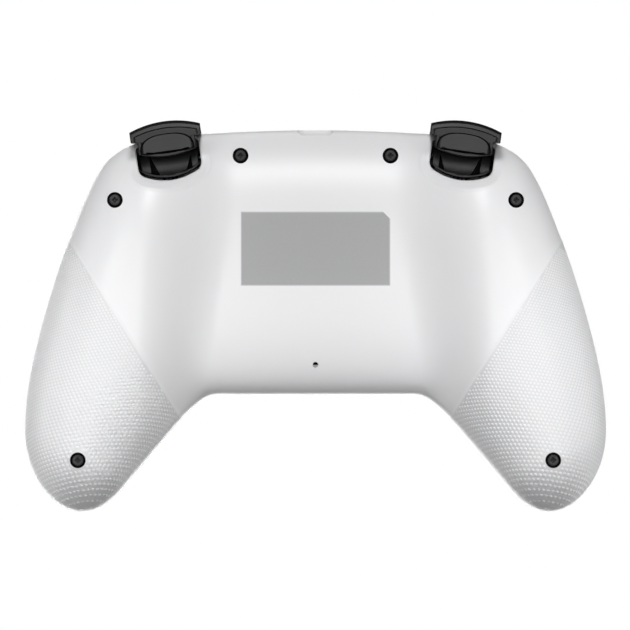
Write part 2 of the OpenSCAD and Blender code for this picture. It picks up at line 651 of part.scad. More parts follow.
usb_board_w = 20;
USB_LIP = 0.6;
usb_board_t = 1.2;
usb_board_y = 34;
usb_board_z = usb_z - USB_H / 2 - usb_board_t - seat;
module usb_board() {
  color("darkgreen") translate([-usb_board_w / 2, usb_board_y - USB_POST_R - wall, usb_board_z])
    cube([usb_board_w, usb_front_y - usb_board_y + USB_POST_R - USB_LIP, usb_board_t]);
}
module usb_c_socket() {
  color("silver") translate([0, usb_front_y, usb_z]) rotate([90, 0, 0]) {
    difference() {
      linear_extrude(USB_L) slot2d(USB_W, USB_H);
      translate([0, 0, -1]) linear_extrude(USB_L + 1 - USB_SHELL)
        slot2d(USB_W - 2 * USB_SHELL, USB_H - 2 * USB_SHELL);
    }
    translate([-TONGUE_W / 2, -TONGUE_T / 2, TONGUE_IN])
      cube([TONGUE_W, TONGUE_T, USB_L - TONGUE_IN - USB_SHELL / 2]);
  }
}

// Trigger, seen along its pin: a drum round the pin and a head that hangs down to the lip
HOLLOW_BACK = 8;
STEP_Y = 4.2;
STEP_SAG = 1.4;
DRUM_BACK = 2.9;
LIP_Z = -13.3;
UNDER_Z = -14.6;
UNDER_RISE = 0.9;
LIP_SIDE = 1.8;
LIP_R = 0.5;
PAD_Z = 2.5;
pad_top = 5.8;
pad_y = lip_reach - 2.9;
under_y = lip_reach - 2.6;
PAD_FRONT = [for (i = [1:8]) bezier([[lip_reach - 0.02, LIP_Z + 0.4], [under_y, LIP_Z + 5],
  [lip_reach - 3.4, -5], [pad_y, PAD_Z]], i / 8)];
function drum_profile() = concat(arc([0, 0], drum_r, 270 - asin(DRUM_BACK / drum_r), 315, 10),
  [[pad_y - 2, -drum_r * sin(45)], [pad_y, PAD_Z], [pad_y - 1, pad_top], [2, pad_top],
    [-2.6, pad_top - 0.6]]);
function head_profile() = concat([[STEP_Y - STEP_SAG - 0.2, UNDER_Z], [under_y, UNDER_Z + UNDER_RISE]],
  arc([lip_reach - LIP_R, LIP_Z + 0.2], LIP_R, -60, 20, 3), PAD_FRONT,
  [[pad_y - 1, pad_top], [STEP_Y, pad_top], [STEP_Y - STEP_SAG - 0.2, -drum_r * sin(45)]]);
function hollow_profile() = let (r = drum_r - trigger_wall, top = pad_top - trigger_wall)
  concat([[-HOLLOW_BACK, -r / 2]], arc([0, 0], r, 210, 270 + asin((STEP_Y - 0.4) / r), 10),
    [[lip_reach - 4, LIP_Z + 1.2], [lip_reach - 4.9, -5], [lip_reach - 4.8, top],
      [-HOLLOW_BACK, top]]);

// The same trigger seen from below: its head spreads to the lip's width and ends in two arcs
FLARE_Z = -9;
NECK_Y = STEP_Y + 3.1;
FLARE_Y = NECK_Y + 0.3;
function lip_arc(w, r, inset) = let (a = asin((w / 2) / (r - inset)))
  arc([0, lip_reach - r], r - inset, 90 - a, 90 + a, 12);
trigger_w = window_w - 2 * window_gap;
step_r = sag_r(trigger_w / 2, STEP_SAG);
lip_r = sag_r(lip_w / 2, LIP_SIDE);
step_a = asin(trigger_w / 2 / step_r);
STEP_ARC = arc([0, STEP_Y - STEP_SAG + step_r], step_r, 270 - step_a, 270 + step_a, 12);
function flare(inset, side) = [[side * (trigger_w / 2 - inset), NECK_Y + inset],
  [side * (lip_w / 2 - inset), FLARE_Y + inset]];
module head_plan() {
  polygon(concat(STEP_ARC, flare(0, 1), lip_arc(lip_w, lip_r, 0), [for (i = [1, 0]) flare(0, -1)[i]]));
}
module stem_plan() { polygon(concat(STEP_ARC, [[trigger_w / 2, CUT], [-trigger_w / 2, CUT]])); }
module across(w) { rotate([90, 0, 90]) linear_extrude(w, center = true) children(); }

// Underside of the head: a band along the lip, a bed inside it, a scoop in the bed and a slit below the scoop
BAND_W = 1.6;
BAND_SIDE = 1.1;
BED_DEPTH = 0.35;
SCOOP_DEPTH = 1.3;
SCOOP_R = 14.3;
SCOOP_LONG_R = 20.6;
SCOOP_HALF = 9;
SLIT_Y = 3.76;
SLIT_R = 29.3;
SLIT_W = 0.4;
SLIT_HALF = 5.6;
SLIT_DEPTH = 1.6;
bed_y = SLIT_Y + SLIT_W;
floor_z = UNDER_Z + BED_DEPTH;
module bed_cut() {
  h = lip_w / 2 - BAND_SIDE;
  intersection() {
    across(lip_w) polygon([[0, UNDER_Z - BED_DEPTH], [0, floor_z], [under_y, floor_z + UNDER_RISE],
      [lip_reach + 1, floor_z + UNDER_RISE], [lip_reach + 1, UNDER_Z - BED_DEPTH]]);
    linear_extrude(CUT, center = true) polygon(concat([[BAND_SIDE - trigger_w / 2, bed_y],
      [trigger_w / 2 - BAND_SIDE, bed_y]], flare(BAND_SIDE, 1), lip_arc(2 * h, lip_r, BAND_W),
      [for (i = [1, 0]) flare(BAND_SIDE, -1)[i]]));
  }
}
module scoop_cut() {
  translate([0, bed_y, floor_z + SCOOP_DEPTH - SCOOP_R]) rotate([0, 90, 0]) rotate_extrude()
    polygon(concat([[0, -SCOOP_HALF]], [for (i = [-6:6]) let (x = SCOOP_HALF * i / 6)
      [SCOOP_R - SCOOP_LONG_R + sqrt(SCOOP_LONG_R * SCOOP_LONG_R - x * x), x]], [[0, SCOOP_HALF]]));
}
module slit_cut() {
  translate([0, 0, UNDER_Z - 1]) linear_extrude(1 + SLIT_DEPTH) intersection() {
    translate([0, SLIT_Y + SLIT_R]) difference() {
      circle(r = SLIT_R, $fn = 256);
      circle(r = SLIT_R - SLIT_W, $fn = 256);
    }
    square([2 * SLIT_HALF, CUT], center = true);
  }
}
// Two three-cornered openings beside the drum's middle panel
DRUM_HOLE = [[5.2, 2.4], [5.2, -1.6], [2.7, -1.6]];
module drum_holes() {
  translate([0, 0, -drum_r - 1]) linear_extrude(drum_r - HUB_R) for (m = [0, 1]) mirror([m, 0])
    polygon(DRUM_HOLE);
}
HUB_R = 3;
module trigger(sign) {
  color([0.1, 0.1, 0.11]) at_trigger(sign) difference() {
    union() {
      difference() {
        union() {
          intersection() {
            across(trigger_w) polygon(drum_profile());
            linear_extrude(CUT, center = true) polygon(window_outline(-window_gap));
          }
          intersection() {
            across(lip_w) polygon(head_profile());
            union() {
              translate([0, 0, -CUT]) linear_extrude(CUT + FLARE_Z) head_plan();
              translate([0, 0, FLARE_Z - seat]) linear_extrude(CUT) stem_plan();
            }
          }
        }
        across(trigger_w - 2 * trigger_wall) polygon(hollow_profile());
      }
      rotate([0, 90, 0]) cylinder(r = HUB_R, h = trigger_w, center = true);
    }
    rotate([0, 90, 0]) cylinder(d = pin_d + 2 * run, h = trigger_w + 2, center = true);
    bed_cut();
    scoop_cut();
    slit_cut();
    drum_holes();
  }
}
module right_trigger() { trigger(1); }
module left_trigger() { trigger(-1); }
pin_half = ear_x + EAR_T;
module trigger_pin(sign) {
  color("silver") at_trigger(sign) rotate([0, 90, 0]) cylinder(d = pin_d, h = 2 * pin_half, center = true);
}
module right_trigger_pin() { trigger_pin(1); }
module left_trigger_pin() { trigger_pin(-1); }

// Torsion spring: one wire wound on the trigger hub, with a leg on the trigger and one under the frame
COIL_RINGS = 8;
COIL_SIDES = 6;
SPRING_PITCH = 1.1;
COIL_GAP = 0.3;
SPRING_LEG = 4;
coil_r = HUB_R + COIL_GAP + spring_wire / 2;
function coil_pt(i) = let (a = 360 * i / COIL_RINGS)
  [SPRING_PITCH * (i / COIL_RINGS - spring_turns / 2), coil_r * sin(a), coil_r * cos(a)];
SPRING_PATH = concat([coil_pt(0) - [0, SPRING_LEG, 0]], [for (i = [0:COIL_RINGS * spring_turns]) coil_pt(i)],
  [coil_pt(COIL_RINGS * spring_turns) + [0, SPRING_LEG, 0]]);
function ring_at(path, i, r) = let (n = len(path) - 1, d = unit(path[min(i + 1, n)] - path[max(i - 1, 0)]),
    a = unit(cross(d, [1, 0, 0])), b = cross(d, a))
  [for (k = [0:COIL_SIDES - 1]) path[i] + r * (cos(60 * k) * a + sin(60 * k) * b)];
module wire(path, r) {
  n = len(path);
  points = [for (i = [0:n - 1]) each ring_at(path, i, r)];
  sides = [for (i = [0:n - 2]) for (k = [0:COIL_SIDES - 1]) let (a = i * COIL_SIDES + k,
      b = i * COIL_SIDES + (k + 1) % COIL_SIDES)
    for (f = quad(a, a + COIL_SIDES, b + COIL_SIDES, b)) f];
  last = (n - 1) * COIL_SIDES;
  caps = [for (k = [1:COIL_SIDES - 2]) each [[0, k, k + 1], [last, last + k + 1, last + k]]];
  polyhedron(points, concat(sides, caps));
}
module trigger_spring(sign) { color("silver") at_trigger(sign) wire(SPRING_PATH, spring_wire / 2); }
module right_trigger_spring() { trigger_spring(1); }
module left_trigger_spring() { trigger_spring(-1); }

module bumper(sign) {
  color([0.12, 0.12, 0.13]) mirror([sign < 0 ? 1 : 0, 0, 0]) difference() {
    union() {
      wall_block(bumper_s, BUMPER_OUT, bumper_z, bumper_z + bumper_h, 0, bumper_t);
      at2(bumper_pivot, bumper_z + BUMPER_HUB_UP) {
        cylinder(d = BUMPER_HUB_D, h = BUMPER_HUB_H);
        translate([ARM_FROM, 0, 0]) cube([ARM_L, BUMPER_HUB_D / 2 + ARM_OVER, BUMPER_HUB_H]);
      }
    }
    at2(bumper_pivot, 0) cylinder(d = BUMPER_PIN_D + 2 * run, h = CUT);
  }
}
module right_bumper() { bumper(1); }
module left_bumper() { bumper(-1); }
PIN_PROUD = 0.4;
module bumper_pins() {
  color("silver") for (sx = [-1, 1]) at2([sx * bumper_pivot[0], bumper_pivot[1]], frame_z)
    cylinder(d = BUMPER_PIN_D, h = bumper_z + BUMPER_HUB_UP + BUMPER_HUB_H + PIN_PROUD - frame_z);
}

// Thumbstick: module with trunnion bores, rocker, pivot block, shaft, thumb cap and face ring
MODULE_WALL = 1.2;
MODULE_OVER = 1.8;
TRUNNION_D = 2.2;
CROSS_D = 1.5;
ROCKER_W = 9.4;
ROCKER_IN = 6.6;
ROCKER_H = 2.2;
BLOCK_W = 5.7;
SHAFT_UNDER = 1.8;
STEM_R = 3.6;
DOME_T = 1.2;
module at_stick(p) { at2(p, stick_z) children(); }
module stick_module(p) {
  color("gray") difference() {
    at2(p, board_z) linear_extrude(stick_pivot_h + MODULE_OVER) difference() {
      square(module_w, center = true);
      square(module_w - 2 * MODULE_WALL, center = true);
    }
    at_stick(p) rotate([0, 90, 0]) cylinder(d = TRUNNION_D + 2 * run, h = 2 * module_w, center = true);
  }
}
module stick_rocker(p) {
  color("white") at_stick(p) difference() {
    union() {
      cube([ROCKER_W, ROCKER_W, ROCKER_H], center = true);
      rotate([0, 90, 0]) cylinder(d = TRUNNION_D, h = module_w, center = true);
    }
    cube([ROCKER_IN, ROCKER_IN, 2 * ROCKER_H], center = true);
    rotate([90, 0, 0]) cylinder(d = CROSS_D + 2 * run, h = 2 * module_w, center = true);
  }
}
module stick_pivot(p) {
  color("white") at_stick(p) difference() {
    union() {
      cube([BLOCK_W, BLOCK_W, ROCKER_H], center = true);
      rotate([90, 0, 0]) cylinder(d = CROSS_D, h = ROCKER_W, center = true);
    }
    cylinder(d = shaft_d + 2 * run, h = CUT, center = true);
  }
}
SHAFT_TOP = 15;
module stick_shaft(p) {
  color("silver") at_stick(p) translate([0, 0, -SHAFT_UNDER])
    cylinder(d = shaft_d, h = SHAFT_TOP + SHAFT_UNDER);
}
DISH = 1.6;
module stick_cap(p) {
  rim = cap_d / 2;
  color([0.08, 0.08, 0.08]) at_stick(p) rotate_extrude() polygon(concat(
    [[shaft_d / 2 + run, SHAFT_TOP + run], [shaft_d / 2 + run, dome_r - DOME_T]],
    arc([0, 0], dome_r - DOME_T, 78, 18, 8), arc([0, 0], dome_r, 18, 72, 10),
    [[STEM_R, dome_r + 1.2], [STEM_R, cap_h - 6.4], [STEM_R + 1.2, cap_h - 5.4]],
    arc([rim - 1.6, cap_h - 3.6], 1.6, -80, 70, 6),
    [[rim - 1.4, cap_h - 1.2], [rim - 2.2, cap_h]], arc([0, cap_h - DISH + 18], 18, -68, -90, 6),
    [[0, SHAFT_TOP + run]]));
}
module stick_ring(p) {
  z = face_under(p) - stick_z;
  color([0.1, 0.1, 0.1]) at_stick(p) difference() {
    translate([0, 0, z - slide_gap]) cylinder(r = RING_R, h = RING_H);
    sphere(r = dome_r + slide_gap);
    translate([0, 0, z + RING_H - RING_BEVEL])
      cylinder(r1 = RING_R - RING_LAND, r2 = RING_R - RING_EDGE, h = RING_BEVEL);
  }
}
module left_stick_module() { stick_module(left_stick); }
module left_stick_rocker() { stick_rocker(left_stick); }
module left_stick_pivot() { stick_pivot(left_stick); }
module left_stick_shaft() { stick_shaft(left_stick); }
module left_stick_cap() { stick_cap(left_stick); }
module left_stick_ring() { stick_ring(left_stick); }
module right_stick_module() { stick_module(right_stick); }
module right_stick_rocker() { stick_rocker(right_stick); }
module right_stick_pivot() { stick_pivot(right_stick); }
module right_stick_shaft() { stick_shaft(right_stick); }
module right_stick_cap() { stick_cap(right_stick); }
module right_stick_ring() { stick_ring(right_stick); }

// Directional pad: a cross that rocks on a ball over a fixed post
BALL_R = 2;
POST_WALL = 1;
POST_LOW = 0.9;
dpad_reach = dpad_span / 2 - 2.4;
dpad_z = stick_z;
dpad_rim = (face_under(dpad_at) + wall - dpad_z) * sin(dpad_tilt) + 0.2;
DPAD_TOP = 2.6;
DPAD_PLATE_Z = 0.3;
DPAD_PLATE_T = 1.6;
DPAD_CUP_Z = 0.2;
DPAD_CUP_T = 1.6;
DPAD_DISH = 1;
DPAD_DISH_R = 27;
DPAD_DOME_R = 2.2;
module dpad_cross(grow) {
  for (a = [0, 90]) rotate(a) square([dpad_span + 2 * grow, dpad_arm + 2 * grow], center = true);
}
module dpad() {
  top = face_under(dpad_at) + wall + DPAD_TOP;
  color([0.1, 0.1, 0.1]) at2(dpad_at) difference() {
    union() {
      translate([0, 0, dpad_z + DPAD_PLATE_Z]) linear_extrude(top - dpad_z - DPAD_PLATE_Z) dpad_cross(0);
      translate([0, 0, dpad_z + DPAD_PLATE_Z]) cylinder(r = dpad_reach + DPAD_DOME_R, h = DPAD_PLATE_T);
      translate([0, 0, dpad_z - DPAD_CUP_Z]) cylinder(r = BALL_R + DPAD_CUP_T, h = top - dpad_z - DPAD_DISH);
    }
    translate([0, 0, dpad_z]) sphere(r = BALL_R + run);
    translate([0, 0, top + DPAD_DISH_R - DPAD_DISH]) sphere(r = DPAD_DISH_R);
  }
}
module dpad_ball() { color("white") at2(dpad_at, dpad_z) sphere(r = BALL_R); }
module dpad_post() {
  color("white") at2(dpad_at, board_z) difference() {
    cylinder(r = BALL_R + POST_WALL, h = dpad_z - board_z - POST_LOW);
    translate([0, 0, dpad_z - board_z]) sphere(r = BALL_R + run);
  }
}
MAT_T = 0.8;
face_dome_h = face_travel + 0.2;
small_dome_h = small_travel + 0.2;
MAT_DOME_R = 3;
module mat(domes, r, tops) {
  color("lightgray") {
    for (i = [0:len(domes) - 1]) at2(domes[i], board_z + seat) {
      cylinder(r = r + 1.2, h = MAT_T);
      cylinder(r1 = r, r2 = r * 0.75, h = tops[i]);
    }
    children();
  }
}
DPAD_DOMES = [for (a = [0:90:270]) dpad_at + dpad_reach * [cos(a), sin(a)]];
module dpad_mat() {
  tops = [for (p = DPAD_DOMES) dpad_z + DPAD_PLATE_Z - board_z - 2 * seat];
  mat(DPAD_DOMES, DPAD_DOME_R, tops) at2(dpad_at, board_z + seat) linear_extrude(MAT_T) difference() {
    circle(d = dpad_span);
    circle(r = BALL_R + DPAD_CUP_T);
  }
}
// A button stands on its dome and is held in by a flange under the cover
FLANGE_T = 1.2;
FLANGE_W = 1;
FOOT_IN = 0.6;
CROWN_R = 0.8;
CROWN_H = 1.3;
function flange_top(p, r) = min([for (a = [0:30:330]) face_under(p + (r + 2 * slide_gap) * [cos(a), sin(a)])])
  - 2 * slide_gap;
module button(p, d, proud, dome_h) {
  foot = board_z + MAT_T + dome_h + 2 * seat;
  rim = flange_top(p, d / 2 + FLANGE_W);
  top = skin_z(p[0], p[1], 1) + proud;
  color([0.12, 0.12, 0.12]) at2(p) rotate_extrude() polygon(concat([[0, foot], [d / 2 - FOOT_IN, foot],
    [d / 2 - FOOT_IN, rim - FLANGE_T], [d / 2 + FLANGE_W, rim - FLANGE_T], [d / 2 + FLANGE_W, rim],
    [d / 2, rim]], arc([d / 2 - CROWN_R, top - CROWN_H], CROWN_R, 0, 60, 4), [[0, top]]));
}
module upper_face_button() { button(FACE_BUTTONS[0], face_d, face_proud, face_dome_h); }
module lower_face_button() { button(FACE_BUTTONS[1], face_d, face_proud, face_dome_h); }
module left_face_button() { button(FACE_BUTTONS[2], face_d, face_proud, face_dome_h); }
module right_face_button() { button(FACE_BUTTONS[3], face_d, face_proud, face_dome_h); }
module face_button_mat() {
  tops = [for (p = FACE_BUTTONS) MAT_T + face_dome_h];
  mat(FACE_BUTTONS, MAT_DOME_R, tops) at2(face_mid, board_z + seat) linear_extrude(MAT_T)
    circle(r = face_spread + 1);
}
SMALL_PROUD = 1;
module home_button() { button(home_at, home_d, SMALL_PROUD, small_dome_h); }
module left_menu_button() { button(MENUS[0], menu_d, SMALL_PROUD, small_dome_h); }
module right_menu_button() { button(MENUS[1], menu_d, SMALL_PROUD, small_dome_h); }
module left_option_button() { button(OPTIONS[0], option_d, SMALL_PROUD, small_dome_h); }
module right_option_button() { button(OPTIONS[1], option_d, SMALL_PROUD, small_dome_h); }
module small_button_mat() {
  spots = concat([home_at], MENUS, OPTIONS);
  tops = [for (p = spots) MAT_T + small_dome_h];
  mat(spots, 2, tops) translate([0, 0, board_z + seat]) linear_extrude(MAT_T)
    polygon([OPTIONS[0] - [2, 2], OPTIONS[1] + [2, -2], MENUS[1], home_at + [3, 2], home_at + [-3, 2],
      MENUS[0]]);
}

// Rumble motors lie along the grips in cradles of the rear cover; each turns an eccentric weight
MOTOR_Y = -8;
motor_z = 14;
motor_x = tip[0] - motor_in;
MOTOR_CRADLES = [MOTOR_Y - 3.5, MOTOR_Y - motor_l + 3.5];
WEIGHT_T = 5;
WEIGHT_R = 5.6;
WEIGHT_GAP = 0.6;
WEIGHT_HUB = 1.3;
MOTOR_SHAFT_D = 2;
module at_motor(sign, y) { translate([sign * motor_x, y, motor_z]) rotate([90, 0, 0]) children(); }
module motor(sign) {
  color("silver") {
    at_motor(sign, MOTOR_Y) cylinder(d = motor_d, h = motor_l);
    at_motor(sign, MOTOR_Y - motor_l + seat) cylinder(d = MOTOR_SHAFT_D, h = WEIGHT_T + 2 * WEIGHT_GAP);
  }
}
module right_motor() { motor(1); }
module left_motor() { motor(-1); }
module motor_weight(sign) {
  color("dimgray") at_motor(sign, MOTOR_Y - motor_l - WEIGHT_GAP) difference() {
    union() {
      cylinder(d = MOTOR_SHAFT_D + 2 * WEIGHT_HUB, h = WEIGHT_T);
      intersection() {
        cylinder(r = WEIGHT_R, h = WEIGHT_T);
        translate([-WEIGHT_R, -WEIGHT_R, 0]) cube([2 * WEIGHT_R, WEIGHT_R, WEIGHT_T]);
      }
    }
    translate([0, 0, -1]) cylinder(d = MOTOR_SHAFT_D + 2 * run, h = WEIGHT_T + 2);
  }
}
module right_motor_weight() { motor_weight(1); }
module left_motor_weight() { motor_weight(-1); }

RESET_W = 4.4;
RESET_H = 1.8;
RESET_LID = 0.4;
PLUNGER_D = 2;
PLUNGER_L = 2;
PLUNGER_OUT = 0.9;
module reset_switch() {
  color("silver") difference() {
    at2([0, -reset_y], board_z - board_t - RESET_H) linear_extrude(RESET_H) square(RESET_W, center = true);
    at2([0, -reset_y], board_z - board_t - RESET_H - 1)
      cylinder(d = PLUNGER_D + 2 * run, h = RESET_H + 1 - RESET_LID);
  }
}
module reset_plunger() {
  color("black") at2([0, -reset_y], board_z - board_t - RESET_H - PLUNGER_OUT)
    cylinder(d = PLUNGER_D, h = PLUNGER_L);
}

front_cover();
rear_cover();
rear_screws();
rear_label();
mid_frame();
main_board();
battery();
usb_board();
usb_c_socket();
right_trigger();
left_trigger();
right_trigger_pin();
left_trigger_pin();
right_trigger_spring();
left_trigger_spring();
right_bumper();
left_bumper();
bumper_pins();
left_stick_module();
left_stick_rocker();
left_stick_pivot();
left_stick_shaft();
left_stick_cap();
left_stick_ring();
right_stick_module();
right_stick_rocker();
right_stick_pivot();
right_stick_shaft();
right_stick_cap();
right_stick_ring();
dpad();
dpad_ball();
dpad_post();
dpad_mat();
upper_face_button();
lower_face_button();
left_face_button();
right_face_button();
face_button_mat();
home_button();
left_menu_button();
right_menu_button();
left_option_button();
right_option_button();
small_button_mat();
right_motor();
left_motor();
right_motor_weight();
left_motor_weight();
reset_switch();
reset_plunger();
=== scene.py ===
import bpy
import json
import math
import numpy as np
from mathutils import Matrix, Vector

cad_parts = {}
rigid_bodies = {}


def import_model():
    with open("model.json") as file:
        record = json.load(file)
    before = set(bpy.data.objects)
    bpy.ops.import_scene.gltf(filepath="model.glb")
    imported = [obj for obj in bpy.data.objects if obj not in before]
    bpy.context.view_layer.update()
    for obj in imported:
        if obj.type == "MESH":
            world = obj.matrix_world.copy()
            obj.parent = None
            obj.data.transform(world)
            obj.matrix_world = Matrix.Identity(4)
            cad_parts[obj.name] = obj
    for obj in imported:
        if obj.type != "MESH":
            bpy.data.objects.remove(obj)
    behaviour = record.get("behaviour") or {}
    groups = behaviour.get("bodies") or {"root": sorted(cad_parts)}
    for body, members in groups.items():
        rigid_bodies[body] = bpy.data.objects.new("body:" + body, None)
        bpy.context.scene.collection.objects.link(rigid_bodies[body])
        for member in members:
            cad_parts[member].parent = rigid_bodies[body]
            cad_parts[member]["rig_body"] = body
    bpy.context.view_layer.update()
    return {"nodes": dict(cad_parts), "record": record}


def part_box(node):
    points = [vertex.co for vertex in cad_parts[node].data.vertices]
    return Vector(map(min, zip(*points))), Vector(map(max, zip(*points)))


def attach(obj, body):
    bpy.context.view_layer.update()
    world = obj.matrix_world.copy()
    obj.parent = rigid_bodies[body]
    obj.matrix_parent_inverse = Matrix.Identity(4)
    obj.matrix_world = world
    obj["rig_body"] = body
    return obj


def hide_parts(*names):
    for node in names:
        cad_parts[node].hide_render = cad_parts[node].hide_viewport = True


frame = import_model()
nodes = frame["nodes"]
mm = 0.001


# small helpers for working as by hand
def edit(action="SELECT"):
    bpy.ops.object.mode_set(mode="EDIT")
    bpy.ops.mesh.select_all(action=action)


def editOpenEdges():
    edit("DESELECT")
    bpy.ops.mesh.select_mode(type="EDGE")
    bpy.ops.mesh.select_non_manifold()


def leave():
    bpy.ops.object.mode_set(mode="OBJECT")


def faceOut():  # all of the mesh, normals outward, back to object mode
    bpy.ops.mesh.select_all(action="SELECT")
    bpy.ops.mesh.normals_make_consistent(inside=False)
    leave()


def pick(piece):
    bpy.ops.object.select_all(action="DESELECT")
    piece.select_set(True)
    bpy.context.view_layer.objects.active = piece


def named(name):
    made = bpy.context.object
    made.name = name
    made.data.name = name
    return made


def settle(piece):  # place into the mesh, object back at the origin
    pick(piece)
    bpy.ops.object.transform_apply(location=True, rotation=True, scale=True)
    return piece


def applied(piece, name, kind, **settings):
    pick(piece)
    modifier = piece.modifiers.new(name, kind)
    for key, value in settings.items():
        setattr(modifier, key, value)
    bpy.ops.object.modifier_apply(modifier=modifier.name)


def joined(pieces, name):
    pick(pieces[0])
    for piece in pieces[1:]:
        piece.select_set(True)
    if len(pieces) > 1:
        bpy.ops.object.join()
    return named(name)


def cleaned(piece, near, outward=True):
    pick(piece)
    edit()
    bpy.ops.mesh.remove_doubles(threshold=near)
    if outward:
        bpy.ops.mesh.normals_make_consistent(inside=False)
    leave()


def smoothed(piece, angle=40):
    pick(piece)
    bpy.ops.object.shade_smooth_by_angle(angle=math.radians(angle))
    return piece


def combine(piece, tool, operation):
    applied(piece, "combine", "BOOLEAN", operation=operation, object=tool, solver="MANIFOLD")
    bpy.data.objects.remove(tool, do_unlink=True)


def cut(piece, cutters):
    combine(piece, joined(cutters, piece.name + "_cutter"), "DIFFERENCE")


def softened(piece, width, angle=40, **more):
    applied(piece, "soft", "BEVEL", width=width * mm, segments=2, limit_method="ANGLE",
            angle_limit=math.radians(angle), **more)


def points(piece):
    flat = np.zeros(len(piece.data.vertices) * 3)
    piece.data.vertices.foreach_get("co", flat)
    return flat.reshape(-1, 3)


def placePoints(piece, co):
    piece.data.vertices.foreach_set("co", np.asarray(co, np.float32).ravel())
    piece.data.update()


def editOnly(piece, kind, items, chosen):  # edit mode, with only these faces or points selected
    pick(piece)
    edit("DESELECT")
    bpy.ops.mesh.select_mode(type=kind)
    leave()
    items.foreach_set("select", chosen)
    bpy.ops.object.mode_set(mode="EDIT")


def editFaces(piece, chosen):
    editOnly(piece, "FACE", piece.data.polygons, chosen)


def faceCentres(piece):
    return np.array([tuple(p.center) for p in piece.data.polygons]) / mm


def finishPiece(piece, body, slot, finish, *replaced):
    piece.data.materials.clear()
    piece.data.materials.append(finish)
    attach(piece, body)
    if replaced:
        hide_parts(*replaced)


# shader maths: a socket that adds its own Math nodes
class Val:
    def __init__(self, tree, socket):
        self.tree, self.socket = tree, socket

    def maths(self, kind, a, b):
        return self.tree.node("ShaderNodeMath", {0: a, 1: b}, operation=kind)

    def __add__(self, other): return self.maths("ADD", self, other)
    def __radd__(self, other): return self.maths("ADD", other, self)
    def __sub__(self, other): return self.maths("SUBTRACT", self, other)
    def __rsub__(self, other): return self.maths("SUBTRACT", other, self)
    def __mul__(self, other): return self.maths("MULTIPLY", self, other)
    def __lt__(self, other): return self.maths("LESS_THAN", self, other)


class Shader:
    def __init__(self, owner):
        owner.use_nodes = True
        self.tree = owner.node_tree
        self.tree.nodes.clear()

    def node(self, kind, inputs=None, out=0, **settings):
        made = self.tree.nodes.new(kind)
        for key, value in settings.items():
            setattr(made, key, value)
        for key, value in (inputs or {}).items():
            if isinstance(value, Val):
                self.tree.links.new(value.socket, made.inputs[key])
            else:
                made.inputs[key].default_value = value
        return Val(self, made.outputs[out]) if made.outputs else None

    def place(self):
        return self.node("ShaderNodeTexCoord", out="Object")

    def noise(self, scale, detail=3.0, at=None):
        return self.node("ShaderNodeTexNoise", {"Vector": at or self.place(), "Scale": scale, "Detail": detail,
                                                "Roughness": 0.55})

    def absolute(self, value):
        return self.node("ShaderNodeMath", {0: value}, operation="ABSOLUTE")

    def ramp(self, value, low, high, **ends):  # eased from one value to the other
        return self.node("ShaderNodeMapRange", {"Value": value, "From Min": low, "From Max": high, **ends},
                         interpolation_type="SMOOTHSTEP")

    def tint(self, low, high, factor):
        low, high = (c if isinstance(c, Val) else (*c, 1) for c in (low, high))
        return self.node("ShaderNodeMix", {"Factor": factor, 6: low, 7: high}, 2, data_type="RGBA")

    def plan(self, at):  # x and y of a place
        x = self.node("ShaderNodeSeparateXYZ", {0: at})
        return x, Val(self, x.socket.node.outputs[1])

    def mix(self, factor, first, second):
        return self.node("ShaderNodeMixShader", {0: factor, 1: first, 2: second})

    def bump(self, height, strength, distance):
        return self.node("ShaderNodeBump", {"Height": height, "Strength": strength, "Distance": distance})

    def surface(self, **sockets):
        names = {"color": "Base Color", "rough": "Roughness", "metal": "Metallic", "normal": "Normal",
                 "specular": "Specular IOR Level", "sheen": "Sheen Weight"}
        body = self.node("ShaderNodeBsdfPrincipled", {names[k]: v for k, v in sockets.items()})
        self.node("ShaderNodeOutputMaterial", {"Surface": body})


def newFinish(name):
    material = bpy.data.materials.new(name)
    return material, Shader(material)


# moulded white plastic: fine spark-eroded grain, slight unevenness of gloss; floor is the factor of painted shade on
# the grip's floor between the dots
whiteFinish = {"low": (0.80, 0.80, 0.812), "high": (0.83, 0.83, 0.84), "rough": 0.37, "grain": 2600, "floor": 0.88}


def makeWhite(name, shadePastCrease=None):
    material, s = newFinish(name)
    place = s.place()
    cloud = s.noise(35, 3, at=place)
    grain = s.noise(whiteFinish["grain"], 2, at=place)
    color = s.tint(whiteFinish["low"], whiteFinish["high"], cloud)
    if shadePastCrease:  # painted shade: past the crease the grip's floor between the dots is painted a little darker
        (topX, topY), (outX, outY) = shadePastCrease
        x, y = s.plan(place)
        past = (s.absolute(x) - topX * mm) * outX + (y - topY * mm) * outY
        floor = s.node("ShaderNodeMapRange", {"Value": past, "From Min": 0.2 * mm, "From Max": 0.7 * mm})
        shaded = tuple(whiteFinish["floor"] * c for c in whiteFinish["low"])
        color = s.tint(color, shaded, floor)
    s.surface(color=color, rough=whiteFinish["rough"] + (grain - 0.5) * 0.12 + (cloud - 0.5) * 0.06,
              normal=s.bump(grain, 0.05, 0.00004), specular=0.45)
    return material


# satin black of the triggers, buttons and rubber caps: clouds of colour under a fine grain
blackFinish = {"low": (0.006, 0.006, 0.0064), "high": (0.0095, 0.0095, 0.0099), "cloud": (90, 4), "grain": (3200, 2),
               "rough": (0.42, 0.12, 0.08), "bump": (0.05, 0.00003)}
buttonFinish = {"low": (0.012, 0.012, 0.013), "high": (0.024, 0.024, 0.026), "cloud": (160, 3), "grain": (3600, 2),
                "rough": (0.36, 0, 0.12), "bump": (0.06, 0.00003)}
rubberFinish = {"low": (0.014, 0.014, 0.014), "high": (0.03, 0.03, 0.03), "cloud": (220, 3), "grain": (2400, 3),
                "rough": (0.62, 0, 0.2), "bump": (0.25, 0.00005)}


